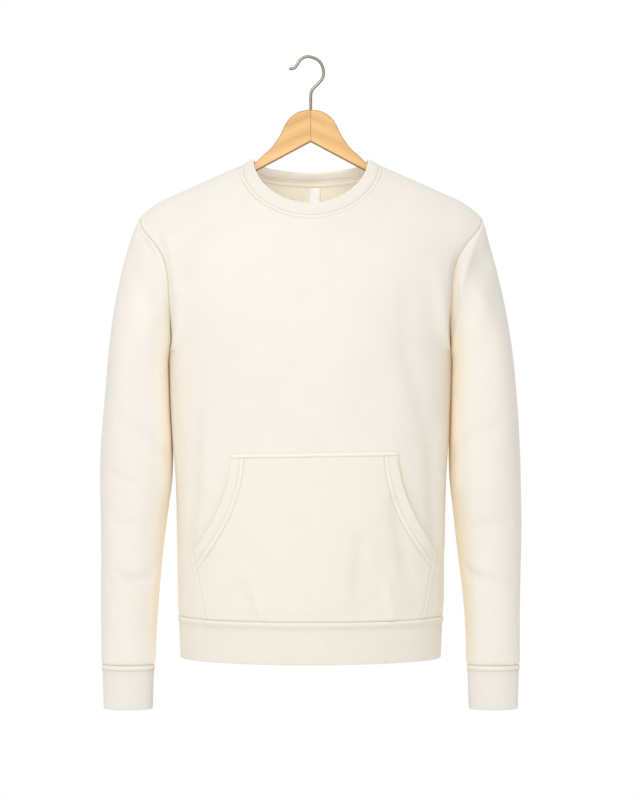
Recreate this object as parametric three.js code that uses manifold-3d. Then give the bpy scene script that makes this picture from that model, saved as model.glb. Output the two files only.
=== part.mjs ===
// A crewneck sweatshirt of brushed cotton fleece with a kangaroo pocket, hanging on a wooden hanger.
// Millimetres, +Z up. The front faces -Y and the wearer's left is +X.
// The origin is the inside top of the hanger's steel hook, where a rail bears.
// The cloth keeps a hollow, filled-out form, as if worn. It is cut as a front, a back, two sleeves, two
// cuffs, a hem band, a neck rib, a pocket, a neck tape and a label, each a wall of its own.

import * as THREE from "three";
import { mergeVertices } from "three/addons/utils/BufferGeometryUtils.js";
import Module from "manifold-3d";

// Cloth
const WALL = 2.2; // one layer of fleece
const RIB_WALL = 3; // a rib band is folded, so it is two thinner layers
const SEAM_GAP = 0.3;
const LAID_GAP = 0.5; // between a piece and the panel that it is sewn on
const LOW_EDGE_ROLL = 1.2; // how far a folded edge rounds in

// Heights, from the rail
const HEM_SEAM = -790;
const HEM_BOTTOM = -849.5;
const UNDERARM = -417;
const SLEEVE_RING = -445; // below this the sleeve is a plain tube
const CUFF_SEAM = -858.6;
const CUFF_BOTTOM = -921.6;

// Shoulder line: a straight slope that rounds off towards the sleeve
const RIDGE_TOP = -108.2;
const RIDGE_SLOPE = 0.444;
const RIDGE_ROUND_FROM = 205;
const RIDGE_ROUND_RADIUS = 67.5;
const RIDGE_REACH = 150; // depth below the ridge at which the chest is at its full depth
const TIP_X = 242.5;
const ARMHOLE_CENTRE = new THREE.Vector3(190, 0, -320);

// Neck
const NECK = { halfWidth: 96.5, frontDrop: 77.8, backDrop: 17, power: 1.9 };
const NECK_TOP = { halfWidth: 81, sideRise: 8.5, frontZ: -211, frontY: -76, backZ: -157.2, backY: 44 };
const TAPE = { below: 2, width: 8.7, wall: 1, halfAngle: 1.2 };
const LABEL = { x: 5.2, width: 18, height: 45, wall: 1, gap: 1, topOff: 0.5, footOff: 3.5 };

// Pocket
const POCKET = {
  centre: 5,
  topZ: -558,
  cornerZ: -699.5,
  topHalf: 114.3,
  cornerHalf: 169.9,
  bottomHalf: 153.3,
  tilt: 0.016,
  hemWidth: 17,
  hemRise: 1.1,
  pouch: 5,
};

// Hanger
const WOOD_DEPTH = 12;
const WOOD_BEVEL = 1.6;
const ARM_END = 217;
const SEAT_DROP = 4.3; // from the shoulder ridge down to the wood, through the cloth
const HOOK_WIRE_RADIUS = 2;
const SOCKET = { radius: 2.3, top: -60, bottom: -99 };

// How many steps each piece has
const TORSO_ROWS = 10;
const ARMHOLE_ROWS = 12;
const NECK_COLUMNS = 16;
const SHOULDER_COLUMNS = 5;
const CAP_RINGS = 6;
const TUBE_RINGS = 9;

const SMALL_STEP = 0.5; // millimetres, for measuring a slope
const SMALL_TURN = 0.02; // radians

const FRONT = -1;
const BACK = 1;
const WEARERS_LEFT = 1;
const WEARERS_RIGHT = -1;

// Half width, front and back depth of the body at each height, and how square its section is (2 is round).
// Above the underarm the half width is that of the curve which the armhole cuts short.
const TORSO = [
  { z: -849.5, half: 184.6, front: 108, back: 96, square: 2 },
  { z: -820, half: 185.8, front: 109, back: 97, square: 2 },
  { z: -790, half: 186.8, front: 110, back: 98, square: 2 },
  { z: -770, half: 188.2, front: 112.5, back: 99, square: 2.02 },
  { z: -700, half: 188.9, front: 114, back: 97, square: 2.06 },
  { z: -600, half: 191, front: 117, back: 95, square: 2.15 },
  { z: -500, half: 195.3, front: 121, back: 100, square: 2.3 },
  { z: -417, half: 197.5, front: 124, back: 108, square: 2.4 },
  { z: -383, half: 205.9, front: 123.5, back: 110, square: 2.4 },
  { z: -339, half: 217, front: 120.5, back: 111, square: 2.4 },
  { z: -300, half: 224, front: 114, back: 109.5, square: 2.4 },
  { z: -263, half: 243, front: 104, back: 105, square: 2.4 },
  { z: -229, half: 260, front: 91, back: 98, square: 2.4 },
  { z: -200, half: 269, front: 79, back: 89, square: 2.4 },
  { z: -152, half: 281, front: 61, back: 72, square: 2.4 },
  { z: -108, half: 286, front: 48, back: 56, square: 2.4 },
];

// The armhole seam seen from the front.
const ARMHOLE = [
  { z: -417, x: 197.5 },
  { z: -383, x: 196 },
  { z: -339, x: 197.6 },
  { z: -311, x: 199.9 },
  { z: -288, x: 205.5 },
  { z: -263, x: 221 },
  { z: -248, x: 234 },
  { z: -238, x: 240.4 },
];

// Where the sleeve's four sides lie at each height.
const SLEEVE = [
  { z: -858.6, inner: 221.2, outer: 294.8, front: -37, back: 17, square: 2.1 },
  { z: -850, inner: 219.6, outer: 295.8, front: -41, back: 21, square: 2.1 },
  { z: -820, inner: 219, outer: 296.2, front: -43, back: 26, square: 2.1 },
  { z: -760, inner: 214.8, outer: 296.8, front: -47, back: 34, square: 2.1 },
  { z: -700, inner: 208.6, outer: 297.4, front: -52, back: 43, square: 2.1 },
  { z: -640, inner: 202, outer: 298, front: -57, back: 53, square: 2.15 },
  { z: -590, inner: 196.6, outer: 298, front: -61, back: 61, square: 2.2 },
  { z: -560, inner: 196, outer: 297.2, front: -64, back: 66, square: 2.3 },
  { z: -500, inner: 197.8, outer: 293.6, front: -69, back: 74, square: 2.4 },
  { z: -445, inner: 199.4, outer: 289, front: -73, back: 80, square: 2.4 },
];

const CUFF = [
  { z: -921.6, inner: 223.4, outer: 292.6, front: -34, back: 14, square: 2.1 },
  { z: -858.6, inner: 221.4, outer: 294.6, front: -37, back: 17, square: 2.1 },
];

// Soft troughs (depth below 0) and ridges: from (x0, z0) to (x1, z1), with the half width at which they fade.
const FRONT_FOLDS = [
  { x0: -156, z0: -505, x1: -176, z1: -665, width: 16, depth: -2.6 },
  { x0: 138, z0: -300, x1: 124, z1: -415, width: 22, depth: -2.8 },
  { x0: 150, z0: -470, x1: 176, z1: -610, width: 17, depth: -2.4 },
  { x0: -196, z0: -262, x1: -184, z1: -330, width: 14, depth: 2.2 },
];
const POCKET_FOLDS = [
  { x0: 118, z0: -640, x1: 127, z1: -730, width: 15, depth: -2.6 },
  { x0: 66, z0: -690, x1: 62, z1: -760, width: 16, depth: -2.4 },
  { x0: -84, z0: -725, x1: -66, z1: -765, width: 15, depth: -2.4 },
];
const BACK_FOLDS = [
  { x0: -120, z0: -330, x1: -96, z1: -470, width: 19, depth: -2.6 },
  { x0: 112, z0: -345, x1: 90, z1: -450, width: 17, depth: -2.2 },
  { x0: 150, z0: -520, x1: 166, z1: -700, width: 15, depth: -2.6 },
  { x0: -152, z0: -560, x1: -160, z1: -720, width: 14, depth: -2.2 },
  { x0: -70, z0: -690, x1: -82, z1: -782, width: 15, depth: -2.8 },
  { x0: 48, z0: -715, x1: 40, z1: -782, width: 14, depth: -2.2 },
  { x0: 118, z0: -725, x1: 126, z1: -782, width: 12, depth: -2 },
];
// On a sleeve a fold runs round it: angle 0 is outermost, 90 is the front, 180 is towards the body.
const SLEEVE_FOLDS = [
  { a0: 30, z0: -270, a1: 92, z1: -345, width: 13, depth: -2.6 },
  { a0: 150, z0: -560, a1: 80, z1: -520, width: 12, depth: -2.4 },
  { a0: 60, z0: -655, a1: 120, z1: -662, width: 9, depth: -1.6 },
  { a0: 50, z0: -742, a1: 135, z1: -732, width: 8, depth: -1.8 },
  { a0: 250, z0: -520, a1: 320, z1: -600, width: 12, depth: -2.2 },
  { a0: 230, z0: -700, a1: 300, z1: -715, width: 9, depth: -1.8 },
  { a0: 215, z0: -840, a1: 330, z1: -826, width: 8, depth: -1.4 },
];

// The hook's centre line, from its shank in the wood to its curled tip.
const HOOK_LINE = [
  { x: 0, z: -97 },
  { x: 0, z: -84 },
  { x: 0, z: -70 },
  { x: 0.1, z: -54 },
  { x: 2, z: -45.2 },
  { x: 10.4, z: -36 },
  { x: 16.4, z: -28.6 },
  { x: 18.3, z: -19.7 },
  { x: 15.6, z: -9 },
  { x: 8.6, z: -1.4 },
  { x: -3.7, z: 2.4 },
  { x: -13.4, z: -0.8 },
  { x: -18.9, z: -8.2 },
  { x: -23.4, z: -13.8 },
  { x: -29, z: -15 },
];

// Upper and lower edge of a hanger arm, from the middle of the hanger out to its end.
const ARM_UPPER = [
  { x: 9, z: -74.2 },
  { x: 20, z: -77.8 },
  { x: 30, z: -85.6 },
  { x: 36.5, z: -95 },
  { x: 44, z: -110.3 },
  { x: 56, z: -127.4 },
  { x: 66, z: -136.4 },
  { x: 75, z: -145.2 },
  { x: 81, z: -150.2 },
  { x: 90, z: -155.4 },
];
const ARM_LOWER = [
  { x: 199, z: -213.5 },
  { x: 150, z: -191.2 },
  { x: 104, z: -171.6 },
  { x: 78, z: -160.6 },
];
const ARM_TOP = -73.4;
const ARM_NOTCH = -118.9;

const CREAM = { color: 0xf3edda, roughness: 0.95, metalness: 0 };
const CREAM_RIB = { color: 0xf1ead8, roughness: 0.92, metalness: 0 };
const WHITE_TAPE = { color: 0xf4f2ee, roughness: 0.8, metalness: 0 };
const BEECH = { color: 0xe8b878, roughness: 0.45, metalness: 0 };
const NICKEL = { color: 0xb8b0a4, roughness: 0.25, metalness: 1 };

const lerp = (a, b, t) => a + (b - a) * t;
const clamp = (value, low, high) => Math.min(high, Math.max(low, value));

// A column of a table at height z, by a monotone cubic through its rows.
function at(table, z, column) {
  const last = table.length - 1;
  const slope = (i) => (table[i + 1][column] - table[i][column]) / (table[i + 1].z - table[i].z);
  const tangent = (i) => {
    if (i === 0) return slope(0);
    if (i === last) return slope(last - 1);
    const before = slope(i - 1);
    const after = slope(i);
    return before * after <= 0 ? 0 : (2 * before * after) / (before + after);
  };
  if (z <= table[0].z) return table[0][column];
  if (z >= table[last].z) return table[last][column];
  const i = table.findIndex((row, k) => z < table[k + 1].z);
  const span = table[i + 1].z - table[i].z;
  const t = (z - table[i].z) / span;
  const rise = table[i + 1][column] - table[i][column];
  const bend = t * (1 - t) * ((1 - t) * tangent(i) - t * tangent(i + 1)) * span;
  return table[i][column] + rise * t * t * (3 - 2 * t) + bend;
}

// Height of the shoulder ridge at x.
function ridge(x) {
  const beyond = Math.max(0, Math.abs(x) - RIDGE_ROUND_FROM);
  return RIDGE_TOP - RIDGE_SLOPE * Math.abs(x) - (beyond * beyond) / (2 * RIDGE_ROUND_RADIUS);
}

const TIP_Z = ridge(TIP_X);
const byHeight = (table) => [...table].sort((a, b) => a.z - b.z);
const torsoRows = byHeight(TORSO);
const armholeRows = byHeight([...ARMHOLE, { z: TIP_Z, x: TIP_X }]);
const sleeveRows = byHeight(SLEEVE);
const cuffRows = byHeight(CUFF);

// How much a list of folds raises the cloth at (a, b), where a fold runs from (a0, b0) to (a1, b1).
function foldRise(folds, a, b, first, stretch = 1) {
  return folds.reduce((sum, fold) => {
    const a0 = fold[first + "0"] * stretch;
    const a1 = fold[first + "1"] * stretch;
    const run = new THREE.Vector2(a1 - a0, fold.z1 - fold.z0);
    const from = new THREE.Vector2(a * stretch - a0, b - fold.z0);
    const t = clamp(from.dot(run) / run.lengthSq(), 0, 1);
    const away = from.distanceTo(run.multiplyScalar(t)) / fold.width;
    return sum + fold.depth * Math.exp(-away * away);
  }, 0);
}

// Depth of the body's outer face at (x, z), measured from the plane of the side seams.
function bodyDepth(x, z, side) {
  const full = at(torsoRows, z, side === FRONT ? "front" : "back");
  const square = at(torsoRows, z, "square");
  const share = clamp(Math.abs(x) / at(torsoRows, z, "half"), 0, 1);
  const round = Math.pow(1 - Math.pow(share, square), 1 / square);
  const below = clamp((ridge(x) - z) / RIDGE_REACH, 0, 1);
  return full * round * Math.sqrt(1 - (1 - below) * (1 - below));
}

function bodyPoint(x, z, side) {
  return new THREE.Vector3(x, side * (SEAM_GAP / 2 + bodyDepth(x, z, side)), z);
}

// Outward normal of the body's face, by small steps across it.
function bodyNormal(x, z, side) {
  const step = SMALL_STEP;
  const inwards = x > 0 ? -step : step;
  const here = bodyPoint(x, z, side);
  const across = bodyPoint(x + inwards, z, side).sub(here).multiplyScalar(Math.sign(inwards));
  const down = bodyPoint(x, z - step, side).sub(here);
  return across.cross(down).multiplyScalar(side).normalize();
}

// The neck seam: angle 0 is the wearer's left shoulder, 90 the front and -90 the back.
function neckSeam(angle) {
  const drop = Math.sin(angle) >= 0 ? NECK.frontDrop : NECK.backDrop;
  const side = Math.sin(angle) >= 0 ? FRONT : BACK;
  const power = 2 / NECK.power;
  const x = NECK.halfWidth * Math.sign(Math.cos(angle)) * Math.pow(Math.abs(Math.cos(angle)), power);
  const z = ridge(NECK.halfWidth) - drop * Math.pow(Math.abs(Math.sin(angle)), power);
  return { x, z, side };
}

// Columns of a body panel: where each one meets the top edge, and its place round the section below.
function panelColumns(side) {
  const columns = [];
  const count = NECK_COLUMNS + 2 * SHOULDER_COLUMNS;
  for (let i = 0; i <= count; i++) {
    const round = -1 + (2 * i) / count;
    const neckIndex = i - SHOULDER_COLUMNS;
    let top;
    if (neckIndex >= 0 && neckIndex <= NECK_COLUMNS) {
      const seam = neckSeam(-side * Math.PI * (1 - neckIndex / NECK_COLUMNS));
      top = { x: seam.x, z: neckIndex % NECK_COLUMNS === 0 ? ridge(seam.x) : seam.z };
    } else {
      const steps = neckIndex < 0 ? i : count - i;
      const x = lerp(TIP_X, NECK.halfWidth, steps / SHOULDER_COLUMNS) * Math.sign(round);
      top = { x, z: steps === 0 ? TIP_Z : ridge(x) };
    }
    const onNeck = neckIndex > 0 && neckIndex < NECK_COLUMNS;
    columns.push({ low: Math.sin((round * Math.PI) / 2), top, onNeck });
  }
  return columns;
}

// Rows of a body panel: height and half width at the side, and how far the row has turned to follow the top.
function panelRows() {
  const rows = [];
  for (let k = 0; k < TORSO_ROWS; k++) {
    const z = lerp(HEM_SEAM, UNDERARM, k / TORSO_ROWS);
    rows.push({ z, x: at(torsoRows, z, "half"), turn: 0 });
  }
  for (let j = 0; j <= ARMHOLE_ROWS; j++) {
    const rise = (1 - Math.cos((j * Math.PI) / ARMHOLE_ROWS)) / 2;
    const z = lerp(UNDERARM, TIP_Z, rise);
    rows.push({ z, x: at(armholeRows, z, "x"), turn: rise * rise, hole: j });
  }
  return rows;
}

// The armhole loop: angle 0 is the shoulder tip, 90 the front and 180 the underarm. hand is WEARERS_LEFT or
// WEARERS_RIGHT.
function armholePoint(angle, hand) {
  const z = lerp(UNDERARM, TIP_Z, (1 + Math.cos(angle)) / 2);
  const x = at(armholeRows, z, "x");
  const side = Math.sin(angle) >= 0 ? FRONT : BACK;
  const atSeam = Math.abs(Math.sin(angle)) < 1e-9;
  const y = atSeam ? 0 : side * (SEAM_GAP / 2 + bodyDepth(x, z, side));
  return new THREE.Vector3(hand * x, y, z);
}

// The armhole seam's two cross directions. Both cloths that meet there have their edge along inwards, and
// outwards leads from the body's cloth to the sleeve's.
function armholeAxes(angle, hand) {
  const step = SMALL_TURN;
  const run = armholePoint(angle + step, hand).sub(armholePoint(angle - step, hand)).normalize();
  const inwards = ARMHOLE_CENTRE.clone().sub(armholePoint(angle, WEARERS_LEFT));
  inwards.x *= hand;
  inwards.addScaledVector(run, -inwards.dot(run)).normalize();
  const outwards = run.clone().cross(inwards);
  outwards.multiplyScalar(hand * Math.sign(outwards.x));
  return { inwards, outwards };
}

// A closed slab from two grids of points that face each other.
function slab(outer, inner, wraps) {
  const rows = outer.length;
  const columns = outer[0].length;
  const position = [];
  [...outer, ...inner].flat().forEach((p) => position.push(p.x, p.y, p.z));
  const index = [];
  const id = (layer, r, c) => layer * rows * columns + r * columns + (c % columns);
  const quad = (a, b, c, d) => index.push(a, b, c, a, c, d);
  const lastColumn = wraps ? columns : columns - 1;
  for (let c = 0; c < lastColumn; c++) {
    for (let r = 0; r < rows - 1; r++) {
      quad(id(0, r, c), id(0, r, c + 1), id(0, r + 1, c + 1), id(0, r + 1, c));
      quad(id(1, r, c), id(1, r + 1, c), id(1, r + 1, c + 1), id(1, r, c + 1));
    }
    quad(id(0, 0, c + 1), id(0, 0, c), id(1, 0, c), id(1, 0, c + 1));
    quad(id(0, rows - 1, c), id(0, rows - 1, c + 1), id(1, rows - 1, c + 1), id(1, rows - 1, c));
  }
  if (!wraps) {
    const end = columns - 1;
    for (let r = 0; r < rows - 1; r++) {
      quad(id(0, r, 0), id(0, r + 1, 0), id(1, r + 1, 0), id(1, r, 0));
      quad(id(0, r + 1, end), id(0, r, end), id(1, r, end), id(1, r + 1, end));
    }
  }
  return facingOut(position, index);
}

// A geometry from points and triangles, turned the right way round if it is inside out.
function facingOut(position, index) {
  let volume = 0;
  const corner = (i) => new THREE.Vector3().fromArray(position, 3 * index[i]);
  for (let i = 0; i < index.length; i += 3) volume += corner(i).dot(corner(i + 1).cross(corner(i + 2)));
  const turned = volume < 0 ? [...index].reverse() : index;
  const geometry = new THREE.BufferGeometry();
  geometry.setAttribute("position", new THREE.Float32BufferAttribute(position, 3));
  return geometry.setIndex(turned);
}

function named(name, geometry, finish) {
  const mesh = new THREE.Mesh(geometry, new THREE.MeshStandardMaterial(finish));
  mesh.name = name;
  return mesh;
}

// The two faces of the front or the back, each a grid of points: a curved panel from the hem seam to the
// shoulders and neck.
function panelGrids(side) {
  const folds = side === FRONT ? FRONT_FOLDS : BACK_FOLDS;
  const columns = panelColumns(side);
  const rows = panelRows();
  const outer = [];
  const inner = [];
  rows.forEach((row, r) => {
    const outerRow = [];
    const innerRow = [];
    columns.forEach((column, c) => {
      const x = row.x * lerp(column.low, column.top.x / TIP_X, row.turn);
      const z = row.z + (column.top.z - TIP_Z) * row.turn;
      const hand = Math.sign(column.low);
      const onSide = c === 0 || c === columns.length - 1;
      const onTop = r === rows.length - 1;
      const point = bodyPoint(x, z, side);
      let inwards;
      if (onSide && row.hole > 0) {
        const angle = side * -Math.PI * (1 - row.hole / ARMHOLE_ROWS);
        inwards = armholeAxes(angle, hand).inwards;
      } else if (onSide) {
        inwards = new THREE.Vector3(-hand, 0, 0);
      } else if (onTop && !column.onNeck) {
        inwards = new THREE.Vector3(-hand * RIDGE_SLOPE, 0, -1).normalize();
      } else {
        const normal = bodyNormal(x, z, side);
        if (r === 0) normal.setZ(0).normalize();
        point.addScaledVector(normal, r === 0 || onTop ? 0 : foldRise(folds, x, z, "x"));
        inwards = normal.negate();
      }
      outerRow.push(point);
      innerRow.push(point.clone().addScaledVector(inwards, WALL));
    });
    outer.push(outerRow);
    inner.push(innerRow);
  });
  return { outer, inner };
}

function bodyPanel({ outer, inner }) {
  return slab(outer, inner, false);
}

// The point at (x, z) on the flat facets of a grid.
function onGrid(grid, x, z) {
  const side = (p, q) => (q.x - p.x) * (z - p.z) - (q.z - p.z) * (x - p.x);
  for (let r = 0; r < grid.length - 1; r++) {
    for (let c = 0; c < grid[r].length - 1; c++) {
      const first = grid[r][c];
      const across = grid[r + 1][c + 1];
      for (const other of [grid[r][c + 1], grid[r + 1][c]]) {
        const shares = [side(across, other), side(other, first), side(first, across)];
        const whole = shares[0] + shares[1] + shares[2];
        if (shares.every((share) => share / whole >= -1e-6)) {
          const y = (shares[0] * first.y + shares[1] * across.y + shares[2] * other.y) / whole;
          return new THREE.Vector3(x, y, z);
        }
      }
    }
  }
  throw new Error("no cloth at " + x + ", " + z);
}

// A point of a sleeve or cuff section. angle 0 is outermost, 90 the front, 180 towards the body.
function tubePoint(table, angle, z, hand) {
  const inner = at(table, z, "inner");
  const outer = at(table, z, "outer");
  const front = at(table, z, "front");
  const back = at(table, z, "back");
  const power = 2 / at(table, z, "square");
  const along = Math.sign(Math.cos(angle)) * Math.pow(Math.abs(Math.cos(angle)), power);
  const across = Math.sign(Math.sin(angle)) * Math.pow(Math.abs(Math.sin(angle)), power);
  const x = (inner + outer) / 2 + ((outer - inner) / 2) * along;
  const y = (front + back) / 2 + ((front - back) / 2) * across;
  return new THREE.Vector3(hand * x, y, z);
}

// The way in which the sleeve leaves the armhole: down the shoulder at the tip, out and forwards at the
// front and back, and straight down at the underarm.
function sleeveStart(angle, hand) {
  const top = Math.max(0, Math.cos(angle)) ** 2;
  const low = Math.max(0, -Math.cos(angle)) ** 2;
  const middle = Math.sin(angle) ** 2;
  const forwards = -0.42 * Math.sign(Math.sin(angle)) * middle;
  const out = 0.4 * top + 0.5 * middle + 0.3 * low;
  return new THREE.Vector3(hand * out, forwards, -(0.92 * top + 0.75 * middle + 0.95 * low)).normalize();
}

// The sleeve's cap: a smooth cubic from the armhole seam (t = 0) to the first level ring (t = 1).
function capPoint(angle, t, hand) {
  const start = armholePoint(angle, hand).addScaledVector(armholeAxes(angle, hand).outwards, SEAM_GAP);
  const end = tubePoint(sleeveRows, angle, SLEEVE_RING, hand);
  const chord = start.distanceTo(end);
  const leave = sleeveStart(angle, hand).multiplyScalar(chord);
  const arrive = end.clone().sub(tubePoint(sleeveRows, angle, SLEEVE_RING - 10, hand)).normalize();
  arrive.multiplyScalar(-chord);
  const t2 = t * t;
  const t3 = t2 * t;
  return start
    .multiplyScalar(2 * t3 - 3 * t2 + 1)
    .addScaledVector(leave, t3 - 2 * t2 + t)
    .addScaledVector(end, 3 * t2 - 2 * t3)
    .addScaledVector(arrive, t3 - t2);
}

function sleeve(hand) {
  const around = 2 * ARMHOLE_ROWS;
  const ringPoint = (k, angle) =>
    k <= CAP_RINGS
      ? capPoint(angle, k / CAP_RINGS, hand)
      : tubePoint(sleeveRows, angle, lerp(SLEEVE_RING, CUFF_SEAM, (k - CAP_RINGS) / TUBE_RINGS), hand);
  const last = CAP_RINGS + TUBE_RINGS;
  const outer = [];
  const inner = [];
  for (let k = 0; k <= last; k++) {
    const outerRing = [];
    const innerRing = [];
    for (let i = 0; i < around; i++) {
      const turn = (2 * Math.PI * i) / around;
      const angle = turn > Math.PI ? turn - 2 * Math.PI : turn;
      const point = ringPoint(k, angle);
      let inwards;
      if (k === 0) {
        inwards = armholeAxes(angle, hand).inwards;
      } else {
        const round = ringPoint(k, angle + SMALL_TURN).sub(ringPoint(k, angle - SMALL_TURN));
        const down = ringPoint(Math.min(k + 0.2, last), angle).sub(ringPoint(k - 0.2, angle));
        inwards = round.cross(down).multiplyScalar(-hand).normalize();
        if (k === last) inwards.setZ(0).normalize();
        const degrees = THREE.MathUtils.radToDeg((angle + 2 * Math.PI) % (2 * Math.PI));
        const fade = k === last ? 0 : 1;
        point.addScaledVector(inwards, -fade * foldRise(SLEEVE_FOLDS, degrees, point.z, "a", 0.9));
      }
      outerRing.push(point);
      innerRing.push(point.clone().addScaledVector(inwards, WALL));
    }
    outer.push(outerRing);
    inner.push(innerRing);
  }
  return slab(outer, inner, true);
}

// A ring of cloth from a profile of {rise, z} points: rise is how far a point stands out from the section.
// The profile runs down the outside and back up the inside.
function band(profile, around, pointAt) {
  const rings = profile.map(({ rise, z }) => {
    const ring = [];
    for (let i = 0; i < around; i++) {
      const here = pointAt(i, z);
      const run = pointAt(i + 1, z).sub(pointAt(i - 1 + around, z));
      const out = new THREE.Vector3(run.y, -run.x, 0).normalize();
      if (out.dot(here.clone().sub(pointAt(i + around / 2, z))) < 0) out.negate();
      ring.push(here.addScaledVector(out, rise));
    }
    return ring;
  });
  return closedRing(rings);
}

// A closed ring-shaped solid: the rings follow each other round the profile and the last joins the first.
function closedRing(rings) {
  const around = rings[0].length;
  const position = rings.flat().flatMap((p) => [p.x, p.y, p.z]);
  const index = [];
  rings.forEach((ring, k) => {
    const next = (k + 1) % rings.length;
    for (let i = 0; i < around; i++) {
      const j = (i + 1) % around;
      const corners = [k * around + i, k * around + j, next * around + j, next * around + i];
      index.push(corners[0], corners[1], corners[2], corners[0], corners[2], corners[3]);
    }
  });
  return facingOut(position, index);
}

// A rib band below a seam: a soft welt under the seam, a plain wall and a folded lower edge.
function bandProfile(seam, bottom) {
  const top = seam - SEAM_GAP;
  return [
    { rise: -0.4, z: top },
    { rise: 1.1, z: top - 1.6 },
    { rise: 1.1, z: top - 6 },
    { rise: 0, z: top - 9 },
    { rise: 0, z: lerp(top, bottom, 0.55) },
    { rise: 0, z: bottom + 2 },
    { rise: -LOW_EDGE_ROLL, z: bottom },
    { rise: LOW_EDGE_ROLL - RIB_WALL, z: bottom },
    { rise: -RIB_WALL, z: bottom + 2 },
    { rise: -RIB_WALL, z: lerp(top, bottom, 0.5) },
    { rise: -RIB_WALL, z: top },
  ];
}

// A point of the hem band's section, at the same places round it as the panels' columns.
function hemPoint(i, z) {
  const count = NECK_COLUMNS + 2 * SHOULDER_COLUMNS;
  const step = i % (2 * count);
  const side = step < count ? FRONT : BACK;
  const round = side === FRONT ? -1 + (2 * step) / count : 1 - (2 * (step - count)) / count;
  const x = at(torsoRows, z, "half") * Math.sin((round * Math.PI) / 2);
  return new THREE.Vector3(x, side * bodyDepth(x, z, side), z);
}

function hemBand() {
  const around = 2 * (NECK_COLUMNS + 2 * SHOULDER_COLUMNS);
  return band(bandProfile(HEM_SEAM, HEM_BOTTOM), around, hemPoint);
}

function cuff(hand) {
  const around = 2 * ARMHOLE_ROWS;
  const profile = bandProfile(CUFF_SEAM, CUFF_BOTTOM);
  return band(profile, around, (i, z) => tubePoint(cuffRows, (2 * Math.PI * i) / around, z, hand));
}

// The edge of the neck rib that stands round the neck, at the same angles as the neck seam.
function neckTop(angle) {
  const front = Math.sin(angle) >= 0;
  const power = 2 / NECK.power;
  const sideZ = ridge(NECK.halfWidth) + NECK_TOP.sideRise;
  const across = Math.pow(Math.abs(Math.sin(angle)), power);
  const x = NECK_TOP.halfWidth * Math.sign(Math.cos(angle)) * Math.pow(Math.abs(Math.cos(angle)), power);
  const deep = Math.pow(Math.abs(Math.sin(angle)), 0.9) * (front ? NECK_TOP.frontY : NECK_TOP.backY);
  return new THREE.Vector3(x, deep, lerp(sideZ, front ? NECK_TOP.frontZ : NECK_TOP.backZ, across));
}

function neckRib() {
  const around = 2 * NECK_COLUMNS;
  // Along the rib from the seam (0) to its folded edge (1), and how far inside the outer face.
  const profile = [
    { along: 0, deep: 0 },
    { along: 0.3, deep: -0.5 },
    { along: 0.65, deep: -0.4 },
    { along: 0.93, deep: 0.3 },
    { along: 1, deep: 0.5 * RIB_WALL },
    { along: 0.93, deep: RIB_WALL - 0.3 },
    { along: 0.5, deep: RIB_WALL },
    { along: 0, deep: WALL },
  ];
  const rings = profile.map(({ along, deep }) => {
    const ring = [];
    for (let i = 0; i < around; i++) {
      const angle = (2 * Math.PI * i) / around;
      const { x, z, side } = neckSeam(angle);
      const onRidge = i % NECK_COLUMNS === 0;
      const seam = onRidge ? new THREE.Vector3(x, 0, z) : bodyPoint(x, z, side);
      const top = neckTop(angle);
      const up = top.clone().sub(seam);
      const slope = Math.sign(x) * RIDGE_SLOPE;
      const cloth = onRidge ? new THREE.Vector3(slope, 0, 1).normalize() : bodyNormal(x, z, side);
      const run = neckTop(angle + SMALL_TURN).sub(neckTop(angle - SMALL_TURN));
      const edge = run.cross(up).normalize();
      if (edge.dot(cloth) < 0) edge.negate();
      const normal = cloth.lerp(edge, Math.min(1, 2 * along)).normalize();
      const start = seam.addScaledVector(up.clone().normalize(), SEAM_GAP);
      ring.push(start.lerp(top, along).addScaledVector(normal, -deep));
    }
    return ring;
  });
  return closedRing(rings);
}

// Half width of the pocket at height z: curved mouths above the corners, straight sewn sides below.
function pocketHalf(z) {
  if (z > POCKET.cornerZ) {
    const down = (POCKET.topZ - z) / (POCKET.topZ - POCKET.cornerZ);
    return lerp(POCKET.topHalf, POCKET.cornerHalf, down * down);
  }
  return lerp(POCKET.cornerHalf, POCKET.bottomHalf, (POCKET.cornerZ - z) / (POCKET.cornerZ - HEM_SEAM));
}

// How far the pocket's cloth stands off the front at a place in it: sewn flat at its top, foot and lower
// sides, and a little slack at its mouths.
function pouchRise(share, z) {
  const up = (z - HEM_SEAM) / (POCKET.topZ - HEM_SEAM);
  const sewn = z > POCKET.cornerZ ? 0.45 : 1;
  return POCKET.pouch * Math.sin(Math.PI * up) * (1 - sewn * Math.pow(Math.abs(share), 3));
}

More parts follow.
